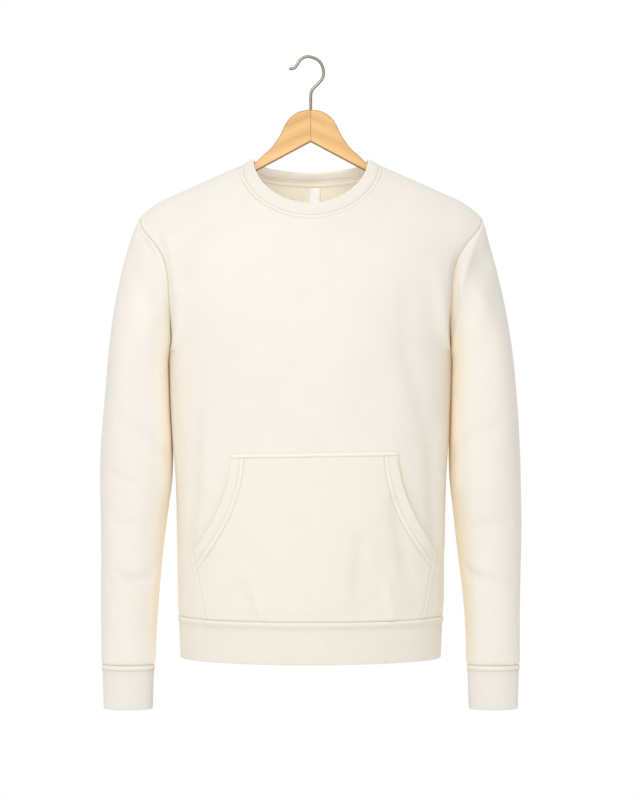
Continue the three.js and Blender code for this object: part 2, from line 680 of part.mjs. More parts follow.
function pocket(front) {
  const low = [0, 0.25, 0.5, 0.75, 1].map((t) => lerp(HEM_SEAM, POCKET.cornerZ, t));
  const high = [0.1, 0.25, 0.4, 0.55, 0.7, 0.85, 0.97, 1].map((t) => lerp(POCKET.cornerZ, POCKET.topZ, t));
  const heights = [...low, ...high];
  const middle = Array.from({ length: 13 }, (_, i) => (i - 6) / 7);
  const outer = [];
  const inner = [];
  heights.forEach((level) => {
    const half = pocketHalf(level);
    const plain = half - POCKET.hemWidth - 2.5;
    const raised = half - POCKET.hemWidth;
    const mouth = level >= POCKET.cornerZ;
    const edge = [plain, raised, (raised + half) / 2, half];
    const places = [...edge.map((place) => -place).reverse(), ...middle.map((m) => m * plain), ...edge];
    const outerRow = [];
    const innerRow = [];
    places.forEach((place) => {
      const x = POCKET.centre + place;
      const tilt = (POCKET.tilt * place * (level - HEM_SEAM)) / (POCKET.topZ - HEM_SEAM);
      const z = level + tilt;
      const hem = mouth && Math.abs(place) > plain + 1 ? POCKET.hemRise : 0;
      const normal = bodyNormal(x, z, FRONT);
      if (level === HEM_SEAM) normal.setZ(0).normalize();
      const slack = pouchRise(place / half, level) + foldRise(POCKET_FOLDS, x, z, "x");
      const lift = LAID_GAP + Math.max(0, slack);
      const cloth = onGrid(front.outer, x, z);
      innerRow.push(cloth.clone().addScaledVector(normal, lift));
      outerRow.push(cloth.clone().addScaledVector(normal, lift + WALL + hem));
    });
    outer.push(outerRow);
    inner.push(innerRow);
  });
  return slab(outer, inner, false);
}

// A point on the inside of the back, moved in from the cloth.
function insideBack(x, z, away) {
  return bodyPoint(x, z, BACK).addScaledVector(bodyNormal(x, z, BACK), -(WALL + away));
}

// The tape that covers the back neck seam from inside.
function neckTape() {
  const steps = 14;
  const rows = [TAPE.below, TAPE.below + TAPE.width];
  const grid = (away) =>
    rows.map((down) => {
      const line = [];
      for (let i = 0; i <= steps; i++) {
        const angle = -Math.PI / 2 + lerp(-TAPE.halfAngle, TAPE.halfAngle, i / steps);
        const { x, z } = neckSeam(angle);
        line.push(insideBack(x, z - down, away));
      }
      return line;
    });
  return slab(grid(LAID_GAP), grid(LAID_GAP + TAPE.wall), false);
}

// The label hangs just below the tape and stands a little off the back at its foot.
function neckLabel() {
  const top = neckSeam(-Math.PI / 2).z - TAPE.below - TAPE.width - LABEL.gap;
  const steps = 4;
  const grid = (deep) => {
    const lines = [];
    for (let k = 0; k <= steps; k++) {
      const z = top - (LABEL.height * k) / steps;
      const away = LAID_GAP + deep + lerp(LABEL.topOff, LABEL.footOff, k / steps);
      const half = LABEL.width / 2;
      lines.push([-half, half].map((across) => insideBack(LABEL.x + across, z, away)));
    }
    return lines;
  };
  return slab(grid(0), grid(LABEL.wall), false);
}

// One arm of the hanger. Its top carries the shoulder from inside, just under the cloth.
function hangerArm(hand) {
  const seat = [100, 130, 160, 190, 205].map((x) => ({ x, z: ridge(x) - SEAT_DROP }));
  const upper = [...ARM_UPPER, ...seat].map(({ x, z }) => new THREE.Vector2(x, z));
  const lower = ARM_LOWER.map(({ x, z }) => new THREE.Vector2(x, z));
  const end = [
    new THREE.Vector2(ARM_END - 5, ridge(ARM_END - 5) - SEAT_DROP - 0.6),
    new THREE.Vector2(ARM_END, ridge(ARM_END) - 9),
    new THREE.Vector2(ARM_END - 1.5, ridge(ARM_END) - 14),
    new THREE.Vector2(ARM_END - 7, ridge(ARM_END) - 15.5),
  ];
  const joint = SEAM_GAP / 2;
  const topLine = new THREE.SplineCurve([new THREE.Vector2(joint, ARM_TOP), ...upper]).getPoints(34);
  const outline = [...topLine, ...end, ...lower, new THREE.Vector2(joint, ARM_NOTCH)];
  const bevelled = outline.map((p) => new THREE.Vector2(hand * p.x, p.y));
  const shape = new THREE.Shape(hand > 0 ? bevelled : bevelled.reverse());
  const board = new THREE.ExtrudeGeometry(shape, {
    depth: WOOD_DEPTH - 2 * WOOD_BEVEL,
    bevelThickness: WOOD_BEVEL,
    bevelSize: WOOD_BEVEL,
    bevelOffset: -WOOD_BEVEL,
    bevelSegments: 2,
  });
  board.rotateX(Math.PI / 2);
  board.translate(0, WOOD_DEPTH / 2 - WOOD_BEVEL, 0);
  const bore = new THREE.CylinderGeometry(SOCKET.radius, SOCKET.radius, SOCKET.top - SOCKET.bottom, 12);
  bore.rotateX(Math.PI / 2);
  bore.translate(0, 0, (SOCKET.top + SOCKET.bottom) / 2);
  return cut(board, bore);
}

function hook() {
  const line = new THREE.CatmullRomCurve3(HOOK_LINE.map(({ x, z }) => new THREE.Vector3(x, 0, z)));
  const sides = 8;
  const section = new THREE.Shape();
  for (let i = 0; i < sides; i++) {
    const angle = (2 * Math.PI * (i + 0.5)) / sides;
    const x = HOOK_WIRE_RADIUS * Math.cos(angle);
    const y = HOOK_WIRE_RADIUS * Math.sin(angle);
    if (i === 0) section.moveTo(x, y);
    else section.lineTo(x, y);
  }
  return new THREE.ExtrudeGeometry(section, { steps: 44, extrudePath: line });
}

const wasm = await Module();
wasm.setup();

// A geometry as a solid that can be cut, with only its positions left so that its corners merge.
function solidOf(geometry) {
  const bare = geometry.clone();
  bare.deleteAttribute("normal");
  bare.deleteAttribute("uv");
  const merged = mergeVertices(bare, 1e-3);
  const vertProperties = new Float32Array(merged.attributes.position.array);
  return new wasm.Manifold(
    new wasm.Mesh({ numProp: 3, vertProperties, triVerts: new Uint32Array(merged.index.array) }),
  );
}

function cut(geometry, tool) {
  const { vertProperties, triVerts } = solidOf(geometry).subtract(solidOf(tool)).getMesh();
  const made = new THREE.BufferGeometry();
  made.setAttribute("position", new THREE.BufferAttribute(vertProperties, 3));
  return made.setIndex(new THREE.BufferAttribute(triVerts, 1));
}

const sweatshirt = new THREE.Group();
const front = panelGrids(FRONT);
sweatshirt.add(named("front", bodyPanel(front), CREAM));
sweatshirt.add(named("back", bodyPanel(panelGrids(BACK)), CREAM));
sweatshirt.add(named("sleeve_left", sleeve(WEARERS_LEFT), CREAM));
sweatshirt.add(named("sleeve_right", sleeve(WEARERS_RIGHT), CREAM));
sweatshirt.add(named("cuff_left", cuff(WEARERS_LEFT), CREAM_RIB));
sweatshirt.add(named("cuff_right", cuff(WEARERS_RIGHT), CREAM_RIB));
sweatshirt.add(named("hem_band", hemBand(), CREAM_RIB));
sweatshirt.add(named("neck_rib", neckRib(), CREAM_RIB));
sweatshirt.add(named("pocket", pocket(front), CREAM));
sweatshirt.add(named("neck_tape", neckTape(), CREAM_RIB));
sweatshirt.add(named("neck_label", neckLabel(), WHITE_TAPE));

const hanger = new THREE.Group();
hanger.add(named("hanger_arm_left", hangerArm(WEARERS_LEFT), BEECH));
hanger.add(named("hanger_arm_right", hangerArm(WEARERS_RIGHT), BEECH));
hanger.add(named("hanger_hook", hook(), NICKEL));

const garment = new THREE.Group();
garment.add(sweatshirt, hanger);

export default garment;
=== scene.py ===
"""Dresses a crewneck sweatshirt on a wooden hanger for its picture.

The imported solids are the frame. Each piece of cloth is made again here as a thin wall on the same form, with
its creases, seams and stitches, and the hanger is given its finished edges. Sizes are in millimetres and
become metres where a mesh is made. The front faces -Y and the wearer's left is +X.
"""

import logging
import math
from dataclasses import dataclass, field
from enum import Enum
from typing import Any, Callable, Sequence

import bmesh
import bpy
import numpy as np
from bpy.types import ID, Material, Node, NodeSocket, NodeTree, Object
from mathutils import Euler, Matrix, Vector
from mathutils.kdtree import KDTree


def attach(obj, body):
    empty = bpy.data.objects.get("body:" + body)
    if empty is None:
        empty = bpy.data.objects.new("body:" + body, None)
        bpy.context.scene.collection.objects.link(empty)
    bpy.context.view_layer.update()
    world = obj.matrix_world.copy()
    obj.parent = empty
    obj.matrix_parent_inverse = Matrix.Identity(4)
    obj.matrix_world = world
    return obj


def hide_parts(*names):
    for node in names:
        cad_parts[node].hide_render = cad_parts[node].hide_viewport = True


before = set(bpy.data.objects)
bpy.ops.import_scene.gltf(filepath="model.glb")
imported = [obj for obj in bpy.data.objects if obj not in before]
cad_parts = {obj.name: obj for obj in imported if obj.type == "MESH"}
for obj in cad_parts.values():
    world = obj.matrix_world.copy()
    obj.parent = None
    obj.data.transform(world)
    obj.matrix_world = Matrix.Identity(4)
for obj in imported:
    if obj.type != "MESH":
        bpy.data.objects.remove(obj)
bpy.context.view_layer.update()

LOG = logging.getLogger("sweatshirt")
Array = np.ndarray

MM = 0.001  # metres in a millimetre
WALL = 2.2  # one layer of fleece
SEWN_WALL = 1.4  # the least that is left of it under the groove of a seam
RIB_WALL = 3.0  # a rib band is folded, so it is two thinner layers
SEAM_GAP = 0.08  # sewn edges meet, with a hair between them
LAID_GAP = 0.5  # between a tape or label and the back
SEWN_LIFT = 0.1  # between the pocket and the front where they are sewn

HEM_SEAM = -790.0
HEM_BOTTOM = -849.5
UNDERARM = -417.0
SLEEVE_RING = -445.0  # below this the sleeve is a plain tube
CUFF_SEAM = -858.6
CUFF_BOTTOM = -921.6
TIP_X = 242.5  # the shoulder tip, where the armhole seam crosses the shoulder

SMALL_STEP = 0.5  # millimetres, for measuring a slope
SMALL_TURN = 0.02  # radians, for measuring a slope round a section
FAR = 60.0  # a distance at which no seam is felt
INSIDE_PAINTED_WARMTH = 0.45  # painted warm bounce light on the inside of the cloth
WAVE_UNIT = math.pi / 10  # length of one wave of Blender's wave texture at scale 1
MIX_SHARE, MIX_A, MIX_B, MIXED = 0, 6, 7, 2  # the sockets of a colour Mix node, the last an output


class Side(Enum):
    """Which of the two body panels, by the sign of its Y."""

    FRONT = -1
    BACK = 1


class Hand(Enum):
    """The wearer's left or right, by the sign of its X."""

    LEFT = 1
    RIGHT = -1

    @property
    def word(self) -> str:
        """The name that ends a piece's name."""
        return self.name.lower()


class Slot(Enum):
    """The record's material slots."""

    FLEECE = "fleece"
    RIB = "rib_knit"
    TAPE = "twill_tape"
    LABEL = "satin_label"
    WOOD = "beech"
    STEEL = "plated_steel"


def lerp(a: Any, b: Any, t: Any) -> Any:
    """Blends from a (t = 0) to b (t = 1)."""
    return a + (b - a) * t


def smooth(value: Any, low: float, high: float) -> Any:
    """Rises softly from 0 at low to 1 at high."""
    t = np.clip((np.asarray(value) - low) / (high - low), 0.0, 1.0)
    return t * t * (3 - 2 * t)


def bump(distance: Any, width: float) -> Any:
    """A bell curve, 1 at distance 0, that fades over width."""
    return np.exp(-((np.asarray(distance) / width) ** 2))


def unit(vectors: Array) -> Array:
    """Each vector of the last axis at length 1."""
    return vectors / np.maximum(np.linalg.norm(vectors, axis=-1, keepdims=True), 1e-12)


def graded(length: float, coarse: float, fine: float, at_start: float, at_end: float) -> Array:
    """Places along a line, closer together near its ends.

    Args:
        length: the line's length.
        coarse: the step in its middle.
        fine: the step near an end.
        at_start: how far the fine steps reach from the start.
        at_end: how far they reach from the end.

    Returns:
        Places from 0 to 1, as shares of the length.
    """
    first = np.arange(0, at_start, fine)
    last = length - np.arange(0, at_end, fine)[::-1]
    count = max(2, round((length - at_start - at_end) / coarse))
    middle = np.linspace(at_start, length - at_end, count + 1)
    places = np.concatenate([first, middle, last])
    keep = np.concatenate([[True], np.diff(np.sort(places)) > fine * 0.3])
    return np.sort(places)[keep] / length


# ---- Node trees


def add_node(
    tree: NodeTree,
    kind: str,
    settings: dict[str, Any] | None = None,
    inputs: dict[Any, Any] | None = None,
) -> Node:
    """Adds a node to a tree, sets it up and links its inputs.

    Args:
        tree: the tree that the node joins.
        kind: Blender's name of the node type.
        settings: the node's own properties.
        inputs: a value or the output socket to link, by input name or number.

    Returns:
        The new node.
    """
    node = tree.nodes.new(kind)
    for name, value in (settings or {}).items():
        setattr(node, name, value)
    for name, value in (inputs or {}).items():
        if isinstance(value, NodeSocket):
            tree.links.new(value, node.inputs[name])
        else:
            node.inputs[name].default_value = value
    return node


def linear(colour: str) -> tuple[float, float, float, float]:
    """Turns an sRGB hex colour, such as #EBE6DC, into the linear RGBA that a shader takes.

    Args:
        colour: the hex colour.

    Returns:
        Red, green, blue and alpha.
    """
    shares = [int(colour[i : i + 2], 16) / 255 for i in (1, 3, 5)]
    flat = [s / 12.92 if s <= 0.04045 else ((s + 0.055) / 1.055) ** 2.4 for s in shares]
    return (flat[0], flat[1], flat[2], 1.0)


def new_material(name: str) -> tuple[Material, NodeTree]:
    """Makes an empty material.

    Args:
        name: the material's name.

    Returns:
        The material and its tree.
    """
    material = bpy.data.materials.new(name)
    material.use_nodes = True
    material.node_tree.nodes.clear()
    return material, material.node_tree


@dataclass(frozen=True)
class KnitFinish:
    """Brushed-back cotton fleece, or its rib: a matt knit face with a faint mottle.

    The eye gets a soft, flat cream with no gloss, and from near by the fine upright lines of the knit. Light and
    shade are painted on by its attributes: painted shade in seams, grooves and crevices, painted warm bounce light,
    painted highlights on lips and crests, painted shade in fold bottoms and a painted glow through the cloth.
    """

    name: str
    colour: str
    seam_colour: str
    warm_colour: str  # painted warm bounce light from other cloth, from inside the garment and from below
    wale: float  # from one upright line of the knit to the next, in metres
    relief: float  # how deep these lines look, in metres
    groove_shade: float  # how much darker the cloth is between two lines
    course: float = 0.0023  # the rows are finer than a pixel, so they are drawn about twice as coarse
    mottle: float = 0.045  # size of the faint patches that brushing leaves
    felt: float = 0.004  # size of the small unevenness of the brushed face
    felt_relief: float = 0.00035
    roughness: float = 0.93
    seam_share: float = 0.75
    painted_ridge_light: float = 0.06  # painted highlight per unit of ridge, and painted shade where ridge is below 0
    sheen: float = 0.06
    glow: str = "#CDAA70"  # light that comes through the cloth is golden

    def build(self) -> Material:
        """Makes the material, which reads the piece's UV map, in metres, and its four shade attributes.

        Returns:
            The material.
        """
        material, tree = new_material(self.name)
        place = add_node(tree, "ShaderNodeTexCoord").outputs["UV"]
        wave = {"Vector": place, "Distortion": 0.4, "Detail": 1.0, "Detail Scale": 0.3}
        wales, courses = (
            add_node(
                tree,
                "ShaderNodeTexWave",
                settings={"bands_direction": way},
                inputs={**wave, "Scale": WAVE_UNIT / period},
            ).outputs["Fac"]
            for way, period in (("X", self.wale), ("Y", self.course))
        )
        patches, felt = (
            add_node(
                tree, "ShaderNodeTexNoise", inputs={"Vector": place, "Scale": 1 / size, "Detail": detail}
            ).outputs["Fac"]
            for size, detail in ((self.mottle, 2.0), (self.felt, 3.0))
        )
        seam, warm, ridge, through = (
            add_node(tree, "ShaderNodeAttribute", settings={"attribute_name": name}).outputs["Fac"]
            for name in ("seam", "warm", "ridge", "through")
        )
        ranges = ((seam, 0.0, self.seam_share), (patches, 0.975, 1.02), (wales, 1.0 - self.groove_shade, 1.0))
        sewn, patch_light, line_light = (
            add_node(
                tree, "ShaderNodeMapRange", inputs={"Value": source, "To Min": low, "To Max": high}
            ).outputs["Result"]
            for source, low, high in ranges
        )
        # Painted warm bounce light: the warm attribute mixes in the warm colour.
        cream = add_node(
            tree, "ShaderNodeMix", settings={"data_type": "RGBA"},
            inputs={MIX_SHARE: warm, MIX_A: linear(self.colour), MIX_B: linear(self.warm_colour)},
        )
        # Painted shade: the seam attribute mixes in the seam colour in seam grooves, sewn lines and crevices.
        tint = add_node(
            tree, "ShaderNodeMix", settings={"data_type": "RGBA"},
            inputs={MIX_SHARE: sewn, MIX_A: cream.outputs[MIXED], MIX_B: linear(self.seam_colour)},
        )
        light = add_node(
            tree, "ShaderNodeMath", settings={"operation": "MULTIPLY"}, inputs={0: patch_light, 1: line_light}
        )
        # Painted highlight and shade: the ridge attribute lightens raised lips and crests and darkens fold bottoms.
        raised = add_node(
            tree, "ShaderNodeMath", settings={"operation": "MULTIPLY_ADD"},
            inputs={0: ridge, 1: self.painted_ridge_light, 2: 1.0},
        )
        total = add_node(
            tree, "ShaderNodeMath", settings={"operation": "MULTIPLY"},
            inputs={0: light.outputs[0], 1: raised.outputs[0]},
        )
        colour = add_node(
            tree, "ShaderNodeVectorMath", settings={"operation": "SCALE"},
            inputs={0: tint.outputs[MIXED], "Scale": total.outputs[0]},
        )
        levels = ((courses, 0.5, self.relief * 0.5), (wales, 0.8, self.relief), (felt, 0.6, self.felt_relief))
        normal: dict[str, NodeSocket] = {}
        for height, strength, deep in levels:
            face = add_node(
                tree, "ShaderNodeBump", inputs={"Height": height, **normal, "Strength": strength, "Distance": deep}
            )
            normal = {"Normal": face.outputs[0]}
        # Painted light: the cloth glows golden where its through attribute is set, for light that comes through it.
        glow = {"Emission Color": linear(self.glow), "Emission Strength": through}
        add_cloth_shader(tree, {"Base Color": colour.outputs[0], **normal, **glow}, self.roughness, self.sheen)
        return material


def add_cloth_shader(tree: NodeTree, inputs: dict[str, Any], roughness: float, sheen: float) -> None:
    """Ends a cloth's tree in its shader.

    Args:
        tree: the material's tree.
        inputs: the colour over the surface, the bumped normal and what glows, by socket name.
        roughness: the shader's roughness.
        sheen: how much the raised fibres catch light at the edges.
    """
    values = {
        "Roughness": roughness, "IOR": 1.5, "Specular IOR Level": 0.15, "Sheen Weight": sheen, "Sheen Roughness": 0.5
    }
    shader = add_node(tree, "ShaderNodeBsdfPrincipled", inputs={**inputs, **values})
    add_node(tree, "ShaderNodeOutputMaterial", inputs={0: shader.outputs[0]})


@dataclass(frozen=True)
class WovenFinish:
    """A small woven strip, twill or satin: slanting threads, a little smoother than the knit."""

    name: str
    colour: str
    seam_colour: str
    thread: float  # metres from one slanting thread to the next
    roughness: float
    sheen: float = 0.1
    relief: float = 0.0001

    def build(self) -> Material:
        """Makes the material, which reads the piece's UV map, in metres, and its seam attribute.

        Returns:
            The material.
        """
        material, tree = new_material(self.name)
        place = add_node(tree, "ShaderNodeTexCoord").outputs["UV"]
        threads = add_node(
            tree, "ShaderNodeTexWave", settings={"bands_direction": "DIAGONAL"},
            inputs={"Vector": place, "Scale": WAVE_UNIT / self.thread, "Distortion": 0.2},
        ).outputs["Fac"]
        seam = add_node(tree, "ShaderNodeAttribute", settings={"attribute_name": "seam"})
        tint = add_node(
            tree, "ShaderNodeMix", settings={"data_type": "RGBA"},
            inputs={MIX_SHARE: seam.outputs["Fac"], MIX_A: linear(self.colour), MIX_B: linear(self.seam_colour)},
        )
        light = add_node(tree, "ShaderNodeMapRange", inputs={"Value": threads, "To Min": 0.97, "To Max": 1.0})
        colour = add_node(
            tree, "ShaderNodeVectorMath", settings={"operation": "SCALE"},
            inputs={0: tint.outputs[MIXED], "Scale": light.outputs[0]},
        )
        face = add_node(tree, "ShaderNodeBump", inputs={"Height": threads, "Strength": 0.5, "Distance": self.relief})
        seen = {"Base Color": colour.outputs[0], "Normal": face.outputs[0]}
        add_cloth_shader(tree, seen, self.roughness, self.sheen)
        return material


@dataclass(frozen=True)
class ThreadFinish:
    """Spun polyester sewing thread: matt, twisted, close to the cloth's own colour."""

    name: str = "sewing_thread"
    colour: str = "#E2D9C4"
    twist: float = 0.0006  # the twist is finer than this and is drawn coarser so that it shows close to
    relief: float = 0.00008
    roughness: float = 0.75
    sheen: float = 0.05

    def build(self) -> Material:
        """Makes the material, which reads Object coordinates, in metres.

        Returns:
            The material.
        """
        material, tree = new_material(self.name)
        place = add_node(tree, "ShaderNodeTexCoord").outputs["Object"]
        turns = add_node(
            tree, "ShaderNodeTexWave", settings={"bands_direction": "DIAGONAL"},
            inputs={"Vector": place, "Scale": WAVE_UNIT / self.twist},
        ).outputs["Fac"]
        light = add_node(tree, "ShaderNodeMapRange", inputs={"Value": turns, "To Min": 0.9, "To Max": 1.0})
        colour = add_node(
            tree, "ShaderNodeVectorMath", settings={"operation": "SCALE"},
            inputs={"Scale": light.outputs[0], 0: linear(self.colour)[:3]},
        )
        face = add_node(tree, "ShaderNodeBump", inputs={"Height": turns, "Strength": 0.5, "Distance": self.relief})
        seen = {"Base Color": colour.outputs[0], "Normal": face.outputs[0]}
        add_cloth_shader(tree, seen, self.roughness, self.sheen)
        return material


@dataclass(frozen=True)
class WoodFinish:
    """Steamed beech under satin varnish: honey brown, fine darker grain along the arm, a soft gloss."""

    name: str
    slope: float  # the arm's own slope in radians, which the grain follows
    light: str = "#EBC186"
    dark: str = "#D29C5C"
    edge: str = "#7A4A1E"
    edge_share: float = 0.85  # how dark the edge colour is: full at the arms' joint, and as painted shade on downward faces
    grain: float = 0.0028  # across, from one grain line to the next
    stretch: float = 22.0  # how many times longer than wide a grain mark is
    board_stretch: float = 2.0  # how many times deeper into the board than wide it is
    broad: float = 0.16  # the broad bands of the grain against its fine lines
    fine_share: float = 0.45  # how much of the grain is its fine lines
    band: tuple[float, float] = (0.52, 0.98)  # where the grain turns from light to dark
    pore_depth: float = 0.0001
    roughness: float = 0.38

    def build(self) -> Material:
        """Makes the material, which reads Object coordinates, in metres, and the piece's edge attribute.

        Returns:
            The material.
        """
        material, tree = new_material(self.name)
        place = add_node(tree, "ShaderNodeTexCoord").outputs["Object"]
        stretch = Vector((self.stretch, self.board_stretch, 1.0))
        along = add_node(
            tree, "ShaderNodeMapping", settings={"vector_type": "TEXTURE"},
            inputs={"Vector": place, "Rotation": Euler((0.0, self.slope, 0.0)), "Scale": stretch},
        ).outputs[0]
        fine = {"Scale": 1 / self.grain, "Detail": 4.0, "Roughness": 0.6, "Distortion": 0.6}
        broad = {"Scale": self.broad / self.grain, "Detail": 2.0}
        lines, bands = (
            add_node(tree, "ShaderNodeTexNoise", inputs={"Vector": along, **values}).outputs["Fac"]
            for values in (fine, broad)
        )
        mixed = add_node(
            tree, "ShaderNodeMath", settings={"operation": "MULTIPLY_ADD"},
            inputs={0: lines, 2: bands, 1: self.fine_share},
        )
        share = add_node(
            tree, "ShaderNodeMapRange",
            inputs={"Value": mixed.outputs[0], "From Min": self.band[0], "From Max": self.band[1]},
        )
        grain = add_node(
            tree, "ShaderNodeMix", settings={"data_type": "RGBA"},
            inputs={MIX_SHARE: share.outputs[0], MIX_A: linear(self.light), MIX_B: linear(self.dark)},
        )
        edge = add_node(tree, "ShaderNodeAttribute", settings={"attribute_name": "edge"}).outputs["Fac"]
        edge_joint_and_shade = add_node(tree, "ShaderNodeMapRange", inputs={"Value": edge, "To Min": 0.0, "To Max": self.edge_share})
        colour = add_node(
            tree, "ShaderNodeMix", settings={"data_type": "RGBA"},
            inputs={MIX_SHARE: edge_joint_and_shade.outputs[0], MIX_A: grain.outputs[MIXED], MIX_B: linear(self.edge)},
        )
        pores = add_node(
            tree, "ShaderNodeBump", inputs={"Height": lines, "Strength": 0.25, "Distance": self.pore_depth}
        )
        values = {
            "Roughness": self.roughness,
            "IOR": 1.5,
            "Specular IOR Level": 0.4,
            "Coat Weight": 0.15,
            "Coat Roughness": 0.25,
        }
        links = {"Base Color": colour.outputs[MIXED], "Normal": pores.outputs[0]}
        shader = add_node(tree, "ShaderNodeBsdfPrincipled", inputs={**links, **values})
        add_node(tree, "ShaderNodeOutputMaterial", inputs={0: shader.outputs[0]})
        return material


@dataclass(frozen=True)
class SteelFinish:
    """Drawn steel wire with bright nickel plate: a smooth warm grey metal with faint marks along the wire."""

    name: str = "nickel_plated_steel_wire"
    colour: str = "#A3998C"
    rim: str = "#3F352B"  # painted dark reflection along the wire's sides as seen from the front
    scratch: float = 0.006  # size of a faint mark, in metres
    roughness: float = 0.3

    def build(self) -> Material:
        """Makes the material, which reads Object coordinates, in metres, and the piece's edge attribute.

        Returns:
            The material.
        """
        material, tree = new_material(self.name)
        place = add_node(tree, "ShaderNodeTexCoord").outputs["Object"]
        marks = add_node(
            tree, "ShaderNodeTexNoise", inputs={"Vector": place, "Scale": 1 / self.scratch, "Detail": 1.0}
        ).outputs["Fac"]
        rough, light = (
            add_node(
                tree, "ShaderNodeMapRange", inputs={"Value": marks, "To Min": low, "To Max": high}
            ).outputs["Result"]
            for low, high in ((self.roughness - 0.02, self.roughness + 0.03), (0.97, 1.03))
        )
        rim = add_node(tree, "ShaderNodeAttribute", settings={"attribute_name": "edge"})
        # Painted dark reflection: the edge attribute mixes in the dark rim colour.
        plate = add_node(
            tree, "ShaderNodeMix", settings={"data_type": "RGBA"},
            inputs={MIX_SHARE: rim.outputs["Fac"], MIX_A: linear(self.colour), MIX_B: linear(self.rim)},
        )
        tone = add_node(
            tree, "ShaderNodeVectorMath", settings={"operation": "SCALE"},
            inputs={0: plate.outputs[MIXED], "Scale": light},
        )
        shader = add_node(
            tree, "ShaderNodeBsdfPrincipled",
            inputs={"Base Color": tone.outputs[0], "Roughness": rough, "Metallic": 1.0},
        )
        add_node(tree, "ShaderNodeOutputMaterial", inputs={0: shader.outputs[0]})
        return material


@dataclass(frozen=True)
class FloorFinish:
    """Matt white studio board, which gives the eye nothing but a soft shadow."""

    name: str = "matt_white_board"
    colour: str = "#FBFBFA"
    fibre: float = 0.4  # size of a faint cloud in the board, in metres

    def build(self) -> Material:
        """Makes the material, which reads Object coordinates, in metres.

        Returns:
            The material.
        """
        material, tree = new_material(self.name)
        place = add_node(tree, "ShaderNodeTexCoord").outputs["Object"]
        cloud = add_node(tree, "ShaderNodeTexNoise", inputs={"Vector": place, "Scale": 1 / self.fibre})
        light = add_node(
            tree, "ShaderNodeMapRange", inputs={"Value": cloud.outputs["Fac"], "To Min": 0.995, "To Max": 1.0}
        )
        tone = add_node(
            tree, "ShaderNodeVectorMath", settings={"operation": "SCALE"},
            inputs={"Scale": light.outputs[0], 0: linear(self.colour)[:3]},
        )
        shader = add_node(
            tree, "ShaderNodeBsdfPrincipled",
            inputs={"Base Color": tone.outputs[0], "Roughness": 0.9, "Specular IOR Level": 0.1},
        )
        add_node(tree, "ShaderNodeOutputMaterial", inputs={0: shader.outputs[0]})
        return material


FLEECE = KnitFinish("cotton_fleece_face", "#EEE9DF", "#CDB78C", "#F6E6C6", 0.0018, 0.00006, 0.006)
RIB = KnitFinish("cotton_rib_knit", "#EBE6DC", "#CDB78C", "#F6E6C6", 0.0026, 0.00012, 0.014)
TAPE = WovenFinish("cotton_twill_tape", "#EDE6D6", "#C2A878", 0.0012, 0.85)
LABEL = WovenFinish("blank_satin_label", "#F7F5F2", "#CFC9BF", 0.0007, 0.5)


# ---- The garment's form


@dataclass(frozen=True)
class Table:
    """Sizes at each height, lowest first, read between the rows by a curve that doesn't overshoot."""

    names: tuple[str, ...]
    rows: tuple[tuple[float, ...], ...]

    def at(self, z: Any, name: str) -> Array:
        """Reads one column.

        Args:
            z: heights.
            name: the column.

        Returns:
            The column's value at each height.
        """
        known = np.array(self.rows)
        heights = known[:, 0]
        values = known[:, 1 + self.names.index(name)]
        slopes = np.diff(values) / np.diff(heights)
        before, after = slopes[:-1], slopes[1:]
        same = before * after > 0
        total = np.where(same, before + after, 1.0)
        inner = np.where(same, 2 * before * after / total, 0.0)
        tangents = np.concatenate([slopes[:1], inner, slopes[-1:]])
        held = np.clip(z, heights[0], heights[-1])
        i = np.clip(np.searchsorted(heights, held, "right") - 1, 0, len(heights) - 2)
        span = heights[i + 1] - heights[i]
        t = (held - heights[i]) / span
        bend = t * (1 - t) * ((1 - t) * tangents[i] - t * tangents[i + 1]) * span
        return values[i] + (values[i + 1] - values[i]) * t * t * (3 - 2 * t) + bend


TORSO = Table(
    ("half", "front", "back", "square"),
    (
        (-849.5, 184.6, 108, 96, 2),
        (-820, 185.8, 109, 97, 2),
        (-790, 186.8, 110, 98, 2),
        (-770, 188.2, 112.5, 99, 2.02),
        (-700, 188.9, 114, 97, 2.06),
        (-600, 191, 117, 95, 2.15),
        (-500, 195.3, 121, 100, 2.3),
        (-417, 197.5, 124, 108, 2.4),
        (-383, 205.9, 123.5, 110, 2.4),
        (-339, 217, 120.5, 111, 2.4),
        (-300, 224, 114, 109.5, 2.4),
        (-263, 243, 104, 105, 2.4),
        (-229, 260, 91, 98, 2.4),
        (-200, 269, 79, 89, 2.4),
        (-152, 281, 61, 72, 2.4),
        (-108, 286, 48, 56, 2.4),
    ),
)
SLEEVE = Table(
    ("inner", "outer", "front", "back", "square"),
    (
        (-858.6, 221.2, 294.8, -37, 17, 2.1),
        (-850, 219.6, 295.8, -41, 21, 2.1),
        (-820, 219, 296.2, -43, 26, 2.1),
        (-760, 214.8, 296.8, -47, 34, 2.1),
        (-700, 208.6, 297.4, -52, 43, 2.1),
        (-640, 202, 298, -57, 53, 2.15),
        (-590, 196.6, 298, -61, 61, 2.2),
        (-560, 196, 297.2, -64, 66, 2.3),
        (-500, 197.8, 293.6, -69, 74, 2.4),
        (-445, 199.4, 289, -73, 80, 2.4),
    ),
)
CUFF = Table(
    ("inner", "outer", "front", "back", "square"),
    ((-921.6, 223.4, 292.6, -34, 14, 2.1), (-858.6, 221.4, 294.6, -37, 17, 2.1)),
)


